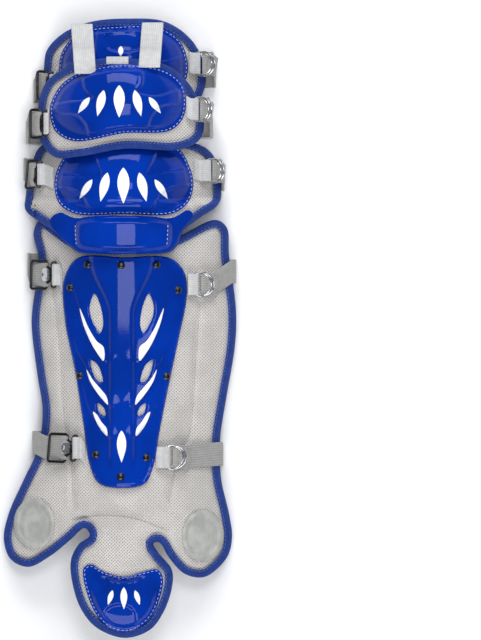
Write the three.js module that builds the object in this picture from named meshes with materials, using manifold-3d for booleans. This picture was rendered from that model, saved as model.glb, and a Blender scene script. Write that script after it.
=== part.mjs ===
// A catcher's leg guard for one leg, lying on its back: a long shin pad with two ankle lobes and a
// tongue, a knee pad, an upper knee flap and a thigh flap, each with moulded caps and a knit edge
// tape, and five rows of straps that close behind the leg.
// Millimetres, +Z up. X runs across the guard and Y from the toe end to the thigh end.
import * as THREE from "three";
import { mergeVertices } from "three/addons/utils/BufferGeometryUtils.js";
import Module from "manifold-3d";

const wasm = await Module();
wasm.setup();

// Overall sizes.
const LENGTH = 730;
const WIDTH = 278;
const SHIN_ARCH = 86;
const KNEE_ARCH = 97;
const UPPER_ARCH = 114;
const THIGH_ARCH = 84;

// Heights of the pads' undersides at their outer edges.
const WING_LIFT = 4.5;
const UPPER_WING_LIFT = 38;

// Walls and layers.
const PAD_THICKNESS = 14;
const FLAP_THICKNESS = 11;
const EDGE_THINNING = 0.4;
const BINDING_WIDTH = 9;
const BINDING_PROUD = 0.8;
const LAYER_GAP = 0.5;
const PLATE_WALL = 3.5;
const SPINE_HEIGHT = 7;
const SPINE_WIDTH = 22;
const CAP_RIM = 3;
const CAP_DOME = 13;
const TOE_CAP_DOME = 7;
const GUSSET_WALL = 2.2;
const BAR_HEIGHT = 8;
const DISC_RADIUS = 30;
const DISC_WALL = 2.6;
const TAB_WALL = 1.5;

// Hardware and straps.
const RIVET_RADIUS = 4.7;
const RIVET_HEIGHT = 3;
const RING_RADIUS = 14;
const RING_WIRE = 1.5;
const WEBBING_WIDTH = 25.4;
const ELASTIC_WIDTH = 28;
const STRAP_WALL = 2.2;
const FRAME_BAR = 3.4;
const FRAME_WALL = 2.6;
const FRAME_CORNER = 3;
const LONG_HOOK = 44;
const SHORT_HOOK = 28;
const CLEARANCE = 0.4;
const STRAP_GAP = 0.5;
// A strap lies flat this far past a ring or hook, and stops this far from its middle.
const HARDWARE_MARGIN = 2.4;
const MIDDLE_GAP = 2.2;

// The arch is a hyperbola: this is the share of the half width that its round crown takes.
const CROWN_ROUNDNESS = 0.5;
// Every layer is made on the same square lattice, so that layers follow each other exactly.
const LATTICE = LENGTH / 34;
const PRISM_HEIGHT = 400;
const PRISM_START = -100;
const POINTS_PER_ROW = 2;
// How late a pad thins towards its edge, and a cap's dome towards its rim: the higher, the later.
const EDGE_POWER = 6;
const DOME_POWER = 3;
// A tape's inner outline drops the points that lie nearer to the outer one than this share of its width.
const INSET_KEPT = 0.96;
// A strap's points aren't nearer to each other than this, and it stands off a wing's edge by a little.
const LEAST_STEP = 2;
const EDGE_STAND_OFF = 0.4;
// A strap's half width is felt over at these shares.
const WIDTH_SHARES = [-1, -0.75, -0.5, -0.25, 0, 0.25, 0.5, 0.75, 1];
// Sides of the round pieces.
const RIVET_SIDES = 10;
const RIVET_STEPS = 4;
const RING_SIDES = 20;
const WIRE_SIDES = 6;
const DISC_SIDES = 24;
const LEAF_STEPS = 5;

const COLOURS = {
  mesh: { color: 0xc9c7c0, roughness: 0.9, metalness: 0 },
  binding: { color: 0x2b4fa5, roughness: 0.8, metalness: 0 },
  shell: { color: 0x0b3aae, roughness: 0.25, metalness: 0 },
  webbing: { color: 0xd9dbd8, roughness: 0.85, metalness: 0 },
  elastic: { color: 0xa8a8a6, roughness: 0.85, metalness: 0 },
  black: { color: 0x111214, roughness: 0.35, metalness: 0.2 },
  steel: { color: 0xb9bcc0, roughness: 0.3, metalness: 0.9 },
  patch: { color: 0xb7b8b6, roughness: 0.6, metalness: 0 },
};

// Outlines as seen from above. Across is a share of half the width, along a share of the length.
const OUTLINES = {
  shin: [
    [-0.679, 0.675], [-0.357, 0.639], [0.017, 0.631], [0.407, 0.641], [0.815, 0.675],
    [0.908, 0.662], [0.925, 0.618], [0.985, 0.529], [0.976, 0.472], [0.9, 0.384],
    [0.849, 0.319], [0.857, 0.257], [0.925, 0.199], [0.951, 0.161], [0.908, 0.128],
    [0.722, 0.097], [0.552, 0.102], [0.424, 0.127], [0.331, 0.154], [0.284, 0.152],
    [0.323, 0.138], [0.441, 0.109], [0.441, 0.08], [0.365, 0.039], [0.255, 0.012],
    [0.042, -0.001], [-0.195, 0.015], [-0.323, 0.043], [-0.399, 0.083], [-0.416, 0.125],
    [-0.348, 0.151], [-0.255, 0.165], [-0.297, 0.177], [-0.424, 0.157], [-0.594, 0.131],
    [-0.781, 0.113], [-0.934, 0.125], [-0.993, 0.157], [-0.951, 0.199], [-0.815, 0.257],
    [-0.705, 0.303], [-0.662, 0.364], [-0.705, 0.422], [-0.756, 0.51], [-0.722, 0.568],
    [-0.696, 0.613], [-0.739, 0.655],
  ],
  plate: [
    [-0.357, 0.613], [0.042, 0.614], [0.424, 0.613], [0.543, 0.592], [0.569, 0.553],
    [0.501, 0.484], [0.416, 0.408], [0.34, 0.335], [0.28, 0.274], [0.212, 0.249],
    [0.017, 0.242], [-0.17, 0.249], [-0.246, 0.274], [-0.314, 0.351], [-0.382, 0.432],
    [-0.467, 0.513], [-0.475, 0.578],
  ],
  toeCap: [
    [-0.306, 0.112], [-0.238, 0.118], [-0.136, 0.107], [0.042, 0.099], [0.229, 0.108],
    [0.323, 0.11], [0.365, 0.096], [0.34, 0.065], [0.255, 0.031], [0.085, 0.01],
    [-0.085, 0.015], [-0.229, 0.047],
  ],
  knee: [
    [-0.679, 0.794], [-0.34, 0.807], [0.017, 0.81], [0.382, 0.807], [0.705, 0.794],
    [0.806, 0.775], [0.857, 0.731], [0.84, 0.702], [0.679, 0.678], [0.543, 0.657],
    [0.475, 0.63], [0.407, 0.6215], [0.017, 0.6215], [-0.34, 0.6215], [-0.424, 0.632],
    [-0.552, 0.655], [-0.679, 0.671], [-0.806, 0.691], [-0.806, 0.715], [-0.756, 0.763],
  ],
  kneeCap: [
    [-0.424, 0.784], [0, 0.797], [0.484, 0.791], [0.594, 0.759], [0.624, 0.731],
    [0.577, 0.702], [0.441, 0.684], [0.034, 0.683], [-0.374, 0.684], [-0.509, 0.7],
    [-0.556, 0.726], [-0.526, 0.759],
  ],
  gusset: [
    [-0.594, 0.673], [-0.509, 0.686], [-0.391, 0.678], [0.034, 0.678], [0.45, 0.678],
    [0.577, 0.69], [0.62, 0.684], [0.518, 0.657], [0.441, 0.63], [0.017, 0.627],
    [-0.374, 0.63],
  ],
  bar: [
    [-0.348, 0.676], [0.416, 0.675], [0.458, 0.667], [0.45, 0.632], [0.407, 0.624],
    [-0.34, 0.624], [-0.382, 0.632], [-0.391, 0.667],
  ],
  upper: [
    [-0.688, 0.869], [-0.611, 0.901], [-0.424, 0.923], [-0.204, 0.933], [0.068, 0.934],
    [0.382, 0.925], [0.552, 0.902], [0.654, 0.873], [0.713, 0.833], [0.679, 0.805],
    [0.509, 0.788], [0.042, 0.788], [-0.34, 0.776], [-0.552, 0.776], [-0.671, 0.801],
    [-0.696, 0.833],
  ],
  upperCap: [
    [-0.594, 0.849], [-0.577, 0.867], [-0.484, 0.894], [-0.297, 0.914], [0.042, 0.924],
    [0.382, 0.915], [0.518, 0.896], [0.56, 0.872], [0.535, 0.838], [0.424, 0.818],
    [0.042, 0.813], [-0.382, 0.801], [-0.543, 0.817],
  ],
  thigh: [
    [-0.654, 0.917], [-0.628, 0.949], [-0.492, 0.976], [-0.255, 0.994], [0.068, 0.999],
    [0.382, 0.995], [0.594, 0.969], [0.705, 0.933], [0.722, 0.893], [0.645, 0.866],
    [0.34, 0.858], [0.017, 0.856], [-0.34, 0.858], [-0.594, 0.862], [-0.679, 0.883],
  ],
  thighCap: [
    [-0.518, 0.927], [-0.475, 0.953], [-0.34, 0.978], [0, 0.987], [0.34, 0.985],
    [0.509, 0.964], [0.577, 0.925], [0.535, 0.894], [0.34, 0.878], [0.017, 0.873],
    [-0.323, 0.88], [-0.484, 0.894],
  ],
};

// Sections along each pad: the wings' edges as shares of half the width, and the crown's height as
// a share of the pad's arch.
const SHIN_SECTIONS = [
  { along: 0, left: -0.993, right: 0.951, crown: 0.7 },
  { along: 0.09, left: -0.993, right: 0.951, crown: 0.85 },
  { along: 0.161, left: -0.993, right: 0.951, crown: 0.95 },
  { along: 0.219, left: -0.917, right: 0.9, crown: 1 },
  { along: 0.257, left: -0.815, right: 0.857, crown: 1 },
  { along: 0.319, left: -0.7, right: 0.849, crown: 1 },
  { along: 0.384, left: -0.685, right: 0.9, crown: 1 },
  { along: 0.464, left: -0.73, right: 0.968, crown: 1 },
  { along: 0.537, left: -0.75, right: 0.985, crown: 1 },
  { along: 0.616, left: -0.735, right: 0.934, crown: 1 },
  { along: 0.683, left: -0.739, right: 0.905, crown: 1 },
];
const KNEE_SECTIONS = [
  { along: 0.62, left: -0.82, right: 0.86, crown: 0.93 },
  { along: 0.68, left: -0.82, right: 0.86, crown: 1 },
  { along: 0.73, left: -0.8, right: 0.86, crown: 1 },
  { along: 0.81, left: -0.74, right: 0.8, crown: 0.94 },
];
const UPPER_SECTIONS = [
  { along: 0.776, left: -0.7, right: 0.71, crown: 0.985 },
  { along: 0.86, left: -0.7, right: 0.71, crown: 1 },
  { along: 0.934, left: -0.66, right: 0.68, crown: 0.95 },
];
const THIGH_SECTIONS = [
  { along: 0.85, left: -0.68, right: 0.725, crown: 0.86 },
  { along: 0.945, left: -0.67, right: 0.72, crown: 0.93 },
  { along: 1, left: -0.66, right: 0.71, crown: 1 },
];

// The plate's rivets.
const RIVETS = [
  { across: -0.276, along: 0.602 },
  { across: 0.013, along: 0.601 },
  { across: 0.314, along: 0.602 },
  { across: -0.424, along: 0.565 },
  { across: 0.497, along: 0.561 },
  { across: -0.343, along: 0.423 },
  { across: 0.399, along: 0.422 },
  { across: -0.204, along: 0.296 },
  { across: 0.229, along: 0.291 },
  { across: 0.008, along: 0.26 },
];

// The plate's leaf-shaped vents on the left of its spine, mirrored on the right. Lengths are shares
// of the guard's length, widths shares of half its width, and turns are degrees from upright.
const SPINE_ACROSS = 0.017;
const VENTS = [
  { across: -0.204, along: 0.524, length: 0.063, width: 0.092, turn: 8 },
  { across: -0.195, along: 0.432, length: 0.041, width: 0.052, turn: 30 },
  { across: -0.157, along: 0.369, length: 0.024, width: 0.04, turn: 38 },
];

const DISCS = [
  { name: "ankle_disc_left", across: -0.73, along: 0.183 },
  { name: "ankle_disc_right", across: 0.705, along: 0.164 },
];

const LIFT_STRAPS = [
  { name: "lift_strap_left", across: -0.31, top: 0.99, bottom: 0.922 },
  { name: "lift_strap_right", across: 0.268, top: 0.992, bottom: 0.929 },
];

// The strap rows. Each has a hook on the left wing, a ring on the right wing, a tab from the cap or
// plate to each, and an elastic strap that leaves over the wings' edges and passes behind the leg.
// A hook is placed by its end towards the tab.
const ROWS = [
  {
    name: "thigh", pad: "thigh", hookLength: SHORT_HOOK,
    hookEnd: { across: -0.5293, along: 0.893 }, ring: { across: 0.69, along: 0.928 },
    leftEdge: 0.884, rightEdge: 0.909,
    leftTab: { across: -0.535, along: 0.905 }, rightTab: { across: 0.592, along: 0.93 },
  },
  {
    name: "upper_knee", pad: "upper", hookLength: SHORT_HOOK,
    hookEnd: { across: -0.5793, along: 0.83 }, ring: { across: 0.67, along: 0.853 },
    leftEdge: 0.818, rightEdge: 0.829,
    leftTab: { across: -0.606, along: 0.838 }, rightTab: { across: 0.568, along: 0.857 },
  },
  {
    name: "knee", pad: "knee", hookLength: SHORT_HOOK,
    hookEnd: { across: -0.6243, along: 0.748 }, ring: { across: 0.775, along: 0.754 },
    leftEdge: 0.756, rightEdge: 0.742,
    leftTab: { across: -0.568, along: 0.742 }, rightTab: { across: 0.636, along: 0.757 },
  },
  {
    name: "shin", pad: "shin", hookLength: LONG_HOOK,
    hookEnd: { across: -0.4867, along: 0.586 }, ring: { across: 0.68, along: 0.57 },
    leftEdge: 0.602, rightEdge: 0.592,
    leftTab: { across: -0.493, along: 0.574 }, rightTab: { across: 0.582, along: 0.569 },
  },
  {
    name: "ankle", pad: "shin", hookLength: LONG_HOOK,
    hookEnd: { across: -0.3217, along: 0.306 }, ring: { across: 0.441, along: 0.291 },
    leftEdge: 0.314, rightEdge: 0.296,
    leftTab: { across: -0.298, along: 0.297 }, rightTab: { across: 0.31, along: 0.291 },
  },
];

const acrossToX = (across) => across * WIDTH / 2;
const alongToY = (along) => along * LENGTH;

const guard = new THREE.Group();
guard.name = "catcher_leg_guard";

function addPiece(name, geometry, look) {
  const mesh = new THREE.Mesh(geometry, new THREE.MeshStandardMaterial(look));
  mesh.name = name;
  guard.add(mesh);
  return mesh;
}

// Closed meshes to solids and back.
function solidFrom(geometry) {
  const bare = geometry.clone();
  bare.deleteAttribute("normal");
  bare.deleteAttribute("uv");
  const merged = mergeVertices(bare, 1e-4);
  return new wasm.Manifold(new wasm.Mesh({
    numProp: 3,
    vertProperties: new Float32Array(merged.attributes.position.array),
    triVerts: new Uint32Array(merged.index.array),
  }));
}

function geometryFrom(solid) {
  const { vertProperties, triVerts } = solid.getMesh();
  const geometry = new THREE.BufferGeometry();
  geometry.setAttribute("position", new THREE.BufferAttribute(vertProperties, 3));
  geometry.setIndex(new THREE.BufferAttribute(triVerts, 1));
  return geometry;
}

// A smooth closed outline through a table's points, counter-clockwise.
function smoothOutline(rows) {
  const points = rows.map(([across, along]) => (
    new THREE.Vector3(acrossToX(across), alongToY(along), 0)
  ));
  const curve = new THREE.CatmullRomCurve3(points, true, "centripetal");
  const loop = curve.getPoints(rows.length * POINTS_PER_ROW).slice(0, -1);
  const flat = loop.map((point) => new THREE.Vector2(point.x, point.y));
  return THREE.ShapeUtils.isClockWise(flat) ? flat.reverse() : flat;
}

function distanceToLoop(point, loop) {
  const nearest = new THREE.Vector3();
  const start = new THREE.Vector3();
  const end = new THREE.Vector3();
  const from = new THREE.Vector3(point.x, point.y, 0);
  const side = new THREE.Line3(start, end);
  let least = Infinity;
  loop.forEach((corner, i) => {
    const next = loop[(i + 1) % loop.length];
    start.set(corner.x, corner.y, 0);
    end.set(next.x, next.y, 0);
    side.closestPointToPoint(from, true, nearest);
    least = Math.min(least, nearest.distanceTo(from));
  });
  return least;
}

// The outline moved inwards. Points that a tight bend pushes too near to the old outline are left out.
function insetOutline(loop, distance) {
  const moved = loop.map((point, i) => {
    const before = loop.at(i - 1);
    const after = loop[(i + 1) % loop.length];
    const along = after.clone().sub(before).normalize();
    return new THREE.Vector2(point.x - along.y * distance, point.y + along.x * distance);
  });
  return moved.filter((point) => distanceToLoop(point, loop) > distance * INSET_KEPT);
}

function prism(outline, holes = []) {
  const shape = new THREE.Shape(outline);
  shape.holes = holes.map((hole) => new THREE.Path(hole));
  const geometry = new THREE.ExtrudeGeometry(shape, { depth: PRISM_HEIGHT, bevelEnabled: false });
  geometry.translate(0, 0, PRISM_START);
  return solidFrom(geometry);
}

// The lattice cells that an outline covers, as a slab between two height functions.
function latticeSlab(outline, under, over) {
  const bounds = new THREE.Box2().setFromPoints(outline);
  const firstColumn = Math.floor(bounds.min.x / LATTICE) - 1;
  const firstRow = Math.floor(bounds.min.y / LATTICE) - 1;
  const columns = Math.ceil(bounds.max.x / LATTICE) + 1 - firstColumn;
  const rows = Math.ceil(bounds.max.y / LATTICE) + 1 - firstRow;
  const sheet = new THREE.PlaneGeometry(columns, rows, columns, rows);
  const count = sheet.attributes.position.count;
  const positions = new Float32Array(count * 6);
  for (let i = 0; i < count; i += 1) {
    const column = Math.round(sheet.attributes.position.getX(i) + columns / 2) + firstColumn;
    const row = Math.round(sheet.attributes.position.getY(i) + rows / 2) + firstRow;
    const x = column * LATTICE;
    const y = row * LATTICE;
    positions.set([x, y, over(x, y)], i * 3);
    positions.set([x, y, under(x, y)], (count + i) * 3);
  }
  const upper = Array.from(sheet.index.array);
  const triangles = [...upper];
  for (let i = 0; i < upper.length; i += 3) {
    triangles.push(count + upper[i], count + upper[i + 2], count + upper[i + 1]);
  }
  const rim = [];
  for (let row = 0; row < rows; row += 1) rim.push(row * (columns + 1));
  for (let column = 0; column < columns; column += 1) rim.push(rows * (columns + 1) + column);
  for (let row = rows; row > 0; row -= 1) rim.push(row * (columns + 1) + columns);
  for (let column = columns; column > 0; column -= 1) rim.push(column);
  rim.forEach((here, i) => {
    const next = rim[(i + 1) % rim.length];
    triangles.push(count + here, count + next, next);
    triangles.push(count + here, next, here);
  });
  const geometry = new THREE.BufferGeometry();
  geometry.setAttribute("position", new THREE.BufferAttribute(positions, 3));
  geometry.setIndex(triangles);
  return solidFrom(geometry);
}

function layer(name, outline, under, over, look, holes = []) {
  const slab = latticeSlab(outline, under, over);
  return addPiece(name, geometryFrom(slab.intersect(prism(outline, holes))), look);
}

// The height of a layer's own facets, between the lattice's points.
function facetHeight(surface, x, y) {
  const column = Math.floor(x / LATTICE);
  const row = Math.floor(y / LATTICE);
  const s = x / LATTICE - column;
  const t = y / LATTICE - row;
  const corner = (i, j) => surface((column + i) * LATTICE, (row + j) * LATTICE);
  const near = corner(0, 0);
  const far = corner(1, 1);
  if (t >= s) {
    const upperLeft = corner(0, 1);
    return near + (upperLeft - near) * t + (far - upperLeft) * s;
  }
  const lowerRight = corner(1, 0);
  return near + (lowerRight - near) * s + (far - lowerRight) * t;
}

// The greatest height of the facets over a strap's width at one place.
function highestAcross(surface, x, y, halfX, halfY) {
  const heights = WIDTH_SHARES.map((share) => (
    facetHeight(surface, x + share * halfX, y + share * halfY)
  ));
  return Math.max(...heights);
}

function sectionValue(sections, column, along) {
  const last = sections.at(-1);
  if (along <= sections[0].along) return sections[0][column];
  if (along >= last.along) return last[column];
  const i = sections.findIndex((row) => row.along > along);
  const before = sections[i - 1];
  const after = sections[i];
  const share = (along - before.along) / (after.along - before.along);
  return THREE.MathUtils.lerp(before[column], after[column], share);
}

// The share of the arch's height that is lost at a share of the half width.
function archFall(share) {
  const reach = Math.min(share, 1);
  return (Math.hypot(CROWN_ROUNDNESS, reach) - CROWN_ROUNDNESS)
    / (Math.hypot(CROWN_ROUNDNESS, 1) - CROWN_ROUNDNESS);
}

function archShare(sections, x, y) {
  const along = y / LENGTH;
  const centre = acrossToX(SPINE_ACROSS);
  const edge = acrossToX(sectionValue(sections, x < centre ? "left" : "right", along));
  return (x - centre) / (edge - centre);
}

function archHeight(sections, arch, thickness, lift, x, y) {
  const crown = arch * sectionValue(sections, "crown", y / LENGTH) - thickness;
  return lift + (crown - lift) * (1 - archFall(archShare(sections, x, y)));
}

// How much taller a wall measures upright than square to its slope.
function steepness(surface, x, y) {
  const slope = (surface(x + 1, y) - surface(x - 1, y)) / 2;
  return Math.hypot(1, slope);
}

// A pad's underside, its top, and the skin that whatever lies over pad and binding must clear.
function makePad(sections, thickness, under) {
  const top = (x, y) => {
    const share = Math.min(archShare(sections, x, y), 1);
    const local = thickness * (1 - EDGE_THINNING * share ** EDGE_POWER);
    return under(x, y) + local * steepness(under, x, y);
  };
  const skin = (x, y) => top(x, y) + BINDING_PROUD;
  return { under, top, skin };
}

const shin = makePad(SHIN_SECTIONS, PAD_THICKNESS, (x, y) => (
  archHeight(SHIN_SECTIONS, SHIN_ARCH, PAD_THICKNESS, WING_LIFT, x, y)
));

// The knee pad's lower end lies on the shin pad.
const SHIN_TOP_END = 0.705;
const knee = makePad(KNEE_SECTIONS, PAD_THICKNESS, (x, y) => {
  const own = archHeight(KNEE_SECTIONS, KNEE_ARCH, PAD_THICKNESS, WING_LIFT, x, y);
  if (y > alongToY(SHIN_TOP_END)) return own;
  return Math.max(own, shin.skin(x, y) + BINDING_PROUD + LAYER_GAP);
});

const thigh = makePad(THIGH_SECTIONS, FLAP_THICKNESS, (x, y) => (
  archHeight(THIGH_SECTIONS, THIGH_ARCH, FLAP_THICKNESS, WING_LIFT, x, y)
));

// A cap's top: a rim wall, and inside it a dome that falls off towards the outline's own box.
function capTop(outline, skin, dome) {
  const bounds = new THREE.Box2().setFromPoints(outline);
  const centre = bounds.getCenter(new THREE.Vector2());
  const half = bounds.getSize(new THREE.Vector2()).multiplyScalar(0.5);
  return (x, y) => {
    const reach = Math.hypot((x - centre.x) / half.x, (y - centre.y) / half.y);
    const rise = dome * Math.max(0, 1 - reach ** DOME_POWER);
    return skin(x, y) + LAYER_GAP + (CAP_RIM + rise) * steepness(skin, x, y);
  };
}

const outlines = {};
for (const [name, rows] of Object.entries(OUTLINES)) outlines[name] = smoothOutline(rows);

const kneeCapTop = capTop(outlines.kneeCap, knee.skin, CAP_DOME);
const thighCapTop = capTop(outlines.thighCap, thigh.skin, CAP_DOME);

// The upper knee flap lies over the knee cap and the thigh cap.
const upper = makePad(UPPER_SECTIONS, FLAP_THICKNESS, (x, y) => {
  const own = archHeight(UPPER_SECTIONS, UPPER_ARCH, FLAP_THICKNESS, UPPER_WING_LIFT, x, y);
  const below = Math.max(knee.skin(x, y), kneeCapTop(x, y), thigh.skin(x, y), thighCapTop(x, y));
  return Math.max(own, below + BINDING_PROUD + LAYER_GAP);
});
const upperCapTop = capTop(outlines.upperCap, upper.skin, CAP_DOME);

const pads = { shin, knee, upper, thigh };

// Each pad with its binding, a tape that wraps the edge.
function addPad(name, key) {
  const pad = pads[key];
  const outer = outlines[key];
  const tapeInside = insetOutline(outer, BINDING_WIDTH);
  const padOutline = insetOutline(tapeInside, CLEARANCE);
  layer(`${name}_pad`, padOutline, pad.under, pad.top, COLOURS.mesh);
  const tapeUnder = (x, y) => pad.under(x, y) - BINDING_PROUD;
  layer(`${name}_binding`, outer, tapeUnder, pad.skin, COLOURS.binding, [tapeInside]);
}

function addCap(name, outline, skin, top) {
  layer(name, outline, (x, y) => skin(x, y) + LAYER_GAP, top, COLOURS.shell);
}

// A leaf-shaped hole: two bowed sides that meet in points.
function leaf(vent, side) {
  const half = alongToY(vent.length) / 2;
  const halfWidth = acrossToX(vent.width) / 2;
  const turn = THREE.MathUtils.degToRad(vent.turn);
  const points = [];
  for (let i = 0; i < LEAF_STEPS * 2; i += 1) {
    const share = i < LEAF_STEPS ? i / LEAF_STEPS : 2 - i / LEAF_STEPS;
    const bow = (i < LEAF_STEPS ? 1 : -1) * halfWidth * Math.sin(Math.PI * share);
    points.push(new THREE.Vector2(bow, (share * 2 - 1) * half));
  }
  const across = SPINE_ACROSS + side * (SPINE_ACROSS - vent.across);
  const centre = new THREE.Vector2(acrossToX(across), alongToY(vent.along));
  const origin = new THREE.Vector2();
  return points.map((point) => point.rotateAround(origin, -side * turn).add(centre));
}

// The hard plate over the shin, with a raised spine and vents either side of it.
function addPlate() {
  const under = (x, y) => shin.skin(x, y) + LAYER_GAP;
  const top = (x, y) => {
    const offSpine = (x - acrossToX(SPINE_ACROSS)) / SPINE_WIDTH;
    const spine = SPINE_HEIGHT * Math.exp(-(offSpine ** 2));
    return under(x, y) + PLATE_WALL * steepness(under, x, y) + spine;
  };
  const holes = VENTS.flatMap((vent) => [leaf(vent, -1), leaf(vent, 1)]);
  layer("shin_plate", outlines.plate, under, top, COLOURS.shell, holes);
  return top;
}

// Turns a flat piece to a surface's slope at a place, and lowers it until it all but touches. A piece
// that leans turns about the length of the guard only, and an open frame or ring has no middle.
function seatOn(geometry, surface, x, y, isOpenFrame) {
  const reach = LATTICE / 2;
  const height = (dx, dy) => facetHeight(surface, x + dx, y + dy);
  const slopeX = (height(reach, 0) - height(-reach, 0)) / (2 * reach);
  const slopeY = (height(0, reach) - height(0, -reach)) / (2 * reach);
  const normal = new THREE.Vector3(-slopeX, isOpenFrame ? 0 : -slopeY, 1).normalize();
  const upright = new THREE.Vector3(0, 0, 1);
  const place = new THREE.Matrix4().makeRotationFromQuaternion(
    new THREE.Quaternion().setFromUnitVectors(upright, normal),
  );
  place.setPosition(x, y, 0);
  const corners = geometry.attributes.position;
  const reaches = isOpenFrame ? [1] : [0.25, 0.5, 0.75, 1];
  const corner = new THREE.Vector3();
  let lowest = Infinity;
  for (let i = 0; i < corners.count; i += 1) {
    for (const share of reaches) {
      corner.set(corners.getX(i) * share, corners.getY(i) * share, corners.getZ(i));
      corner.applyMatrix4(place);
      lowest = Math.min(lowest, corner.z - facetHeight(surface, corner.x, corner.y));
    }
  }
  place.setPosition(x, y, CLEARANCE - lowest);
  return { geometry: geometry.clone().applyMatrix4(place), place };
}

function addRivets(plateTop) {
  const profile = [new THREE.Vector2(0, 0)];
  for (let i = 0; i <= RIVET_STEPS; i += 1) {
    const turn = (Math.PI / 2) * (i / RIVET_STEPS);
    profile.push(new THREE.Vector2(RIVET_RADIUS * Math.cos(turn), RIVET_HEIGHT * Math.sin(turn)));
  }
  profile.at(-1).x = 0;
  const dome = new THREE.LatheGeometry(profile, RIVET_SIDES);
  dome.rotateX(Math.PI / 2);
  RIVETS.forEach((rivet, i) => {
    const x = acrossToX(rivet.across);
    const y = alongToY(rivet.along);
    const seated = seatOn(dome, plateTop, x, y, false);
    addPiece(`rivet_${String(i + 1).padStart(2, "0")}`, seated.geometry, COLOURS.black);
  });
}

// The round moulded patches on the ankle lobes. The lobes slope, so a disc is narrower from above.
function addDiscs() {
  for (const disc of DISCS) {
    const x = acrossToX(disc.across);
    const y = alongToY(disc.along);
    const narrow = DISC_RADIUS / steepness(shin.top, x, y);
    const circle = new THREE.EllipseCurve(x, y, narrow, DISC_RADIUS);
    const rim = circle.getPoints(DISC_SIDES).slice(0, -1);
    const under = (px, py) => shin.skin(px, py) + LAYER_GAP;
    const top = (px, py) => under(px, py) + DISC_WALL;
    layer(disc.name, rim, under, top, COLOURS.patch);
  }
}

// A strip of webbing bent along a path, with its width along one direction.
function bentStrip(path, widthDirection, width, wall) {
  const segments = path.length - 1;
  const box = new THREE.BoxGeometry(segments, width, wall, segments, 1, 1);
  const corners = box.attributes.position;
  const normals = path.map((point, i) => {
    const before = path[Math.max(i - 1, 0)];
    const after = path[Math.min(i + 1, segments)];
    const incoming = point.clone().sub(before).projectOnPlane(widthDirection).normalize();
    const outgoing = after.clone().sub(point).projectOnPlane(widthDirection).normalize();
    const along = incoming.clone().add(outgoing).normalize();
    const mitre = 1 / Math.max(along.dot(i === 0 ? outgoing : incoming), 0.7);
    return along.cross(widthDirection).multiplyScalar(mitre);
  });
  for (let i = 0; i < corners.count; i += 1) {
    const step = Math.round(corners.getX(i) + segments / 2);
    const place = path[step].clone();
    place.addScaledVector(widthDirection, corners.getY(i));
    place.addScaledVector(normals[step], corners.getZ(i));
    corners.setXYZ(i, place.x, place.y, place.z);
  }
  return box;
}

// Points of a path between two places, resting on a surface, at the lattice's lines and halfway.
function restingPoints(surface, from, to, width) {
  const least = Math.min(from.x, to.x) + LEAST_STEP;
  const most = Math.max(from.x, to.x) - LEAST_STEP;
  const step = LATTICE / 2;
  const lines = [];
  for (let line = Math.ceil(least / step); line * step < most; line += 1) lines.push(line * step);
  if (to.x < from.x) lines.reverse();
  return [from.x, ...lines, to.x].map((x) => {
    const share = (x - from.x) / (to.x - from.x);
    const y = THREE.MathUtils.lerp(from.y, to.y, share);
    const height = highestAcross(surface, x, y, 0, width / 2);
    const middle = (STRAP_WALL / 2) * steepness(surface, x, y);
    return new THREE.Vector3(x, y, height + STRAP_GAP + middle);
  });
}

// How far an outline reaches to one side at one place along the guard.
function outlineReach(outline, y, side) {
  let reach = 0;
  outline.forEach((point, i) => {
    const next = outline[(i + 1) % outline.length];
    if ((point.y - y) * (next.y - y) > 0) return;
    const share = point.y === next.y ? 0 : (y - point.y) / (next.y - point.y);
    reach = Math.max(reach, side * THREE.MathUtils.lerp(point.x, next.x, share));
  });
  return reach;
}

// The outermost x of an outline within a strap's width at a place along the guard.
function edgeAt(outline, y, side) {
  const halfWidth = ELASTIC_WIDTH / 2 + LEAST_STEP;
  const reaches = WIDTH_SHARES.map((share) => outlineReach(outline, y + share * halfWidth, side));
  return Math.max(...reaches) * side;
}

// A buckle: a flat frame with an open slot for each strap, and a bar between them.
function buckle(length) {
  const half = length / 2;
  const halfWidth = ELASTIC_WIDTH / 2 + FRAME_BAR + 1;
  const frame = new THREE.Shape();
  frame.moveTo(-half + FRAME_CORNER, -halfWidth);
  frame.lineTo(half - FRAME_CORNER, -halfWidth);
  frame.quadraticCurveTo(half, -halfWidth, half, -halfWidth + FRAME_CORNER);
  frame.lineTo(half, halfWidth - FRAME_CORNER);
  frame.quadraticCurveTo(half, halfWidth, half - FRAME_CORNER, halfWidth);
  frame.lineTo(-half + FRAME_CORNER, halfWidth);
  frame.quadraticCurveTo(-half, halfWidth, -half, halfWidth - FRAME_CORNER);
  frame.lineTo(-half, -halfWidth + FRAME_CORNER);
  frame.quadraticCurveTo(-half, -halfWidth, -half + FRAME_CORNER, -halfWidth);
  const slot = (length - 3 * FRAME_BAR) / 2;
  const slots = [
    { start: -half + FRAME_BAR, reach: ELASTIC_WIDTH / 2 + 1 },
    { start: -half + 2 * FRAME_BAR + slot, reach: WEBBING_WIDTH / 2 + 1 },
  ];
  for (const { start, reach } of slots) {
    const corners = [
      [start, -reach],
      [start + slot, -reach],
      [start + slot, reach],
      [start, reach],
    ];
    const hole = new THREE.Path(corners.map(([x, y]) => new THREE.Vector2(x, y)));
    frame.holes.push(hole);
  }
  const solid = new THREE.ExtrudeGeometry(frame, {
    depth: FRAME_WALL,
    bevelEnabled: false,
    curveSegments: 2,
  });
  solid.translate(0, 0, -FRAME_WALL / 2);
  return solid;
}

// Two points of a path that lies over a piece of hardware, given in the hardware's own plane.
function overHardware(place, wall, inner, outer) {
  const height = wall / 2 + CLEARANCE + STRAP_WALL / 2;
  return [inner, outer].map((x) => new THREE.Vector3(x, 0, height).applyMatrix4(place));
}

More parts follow.
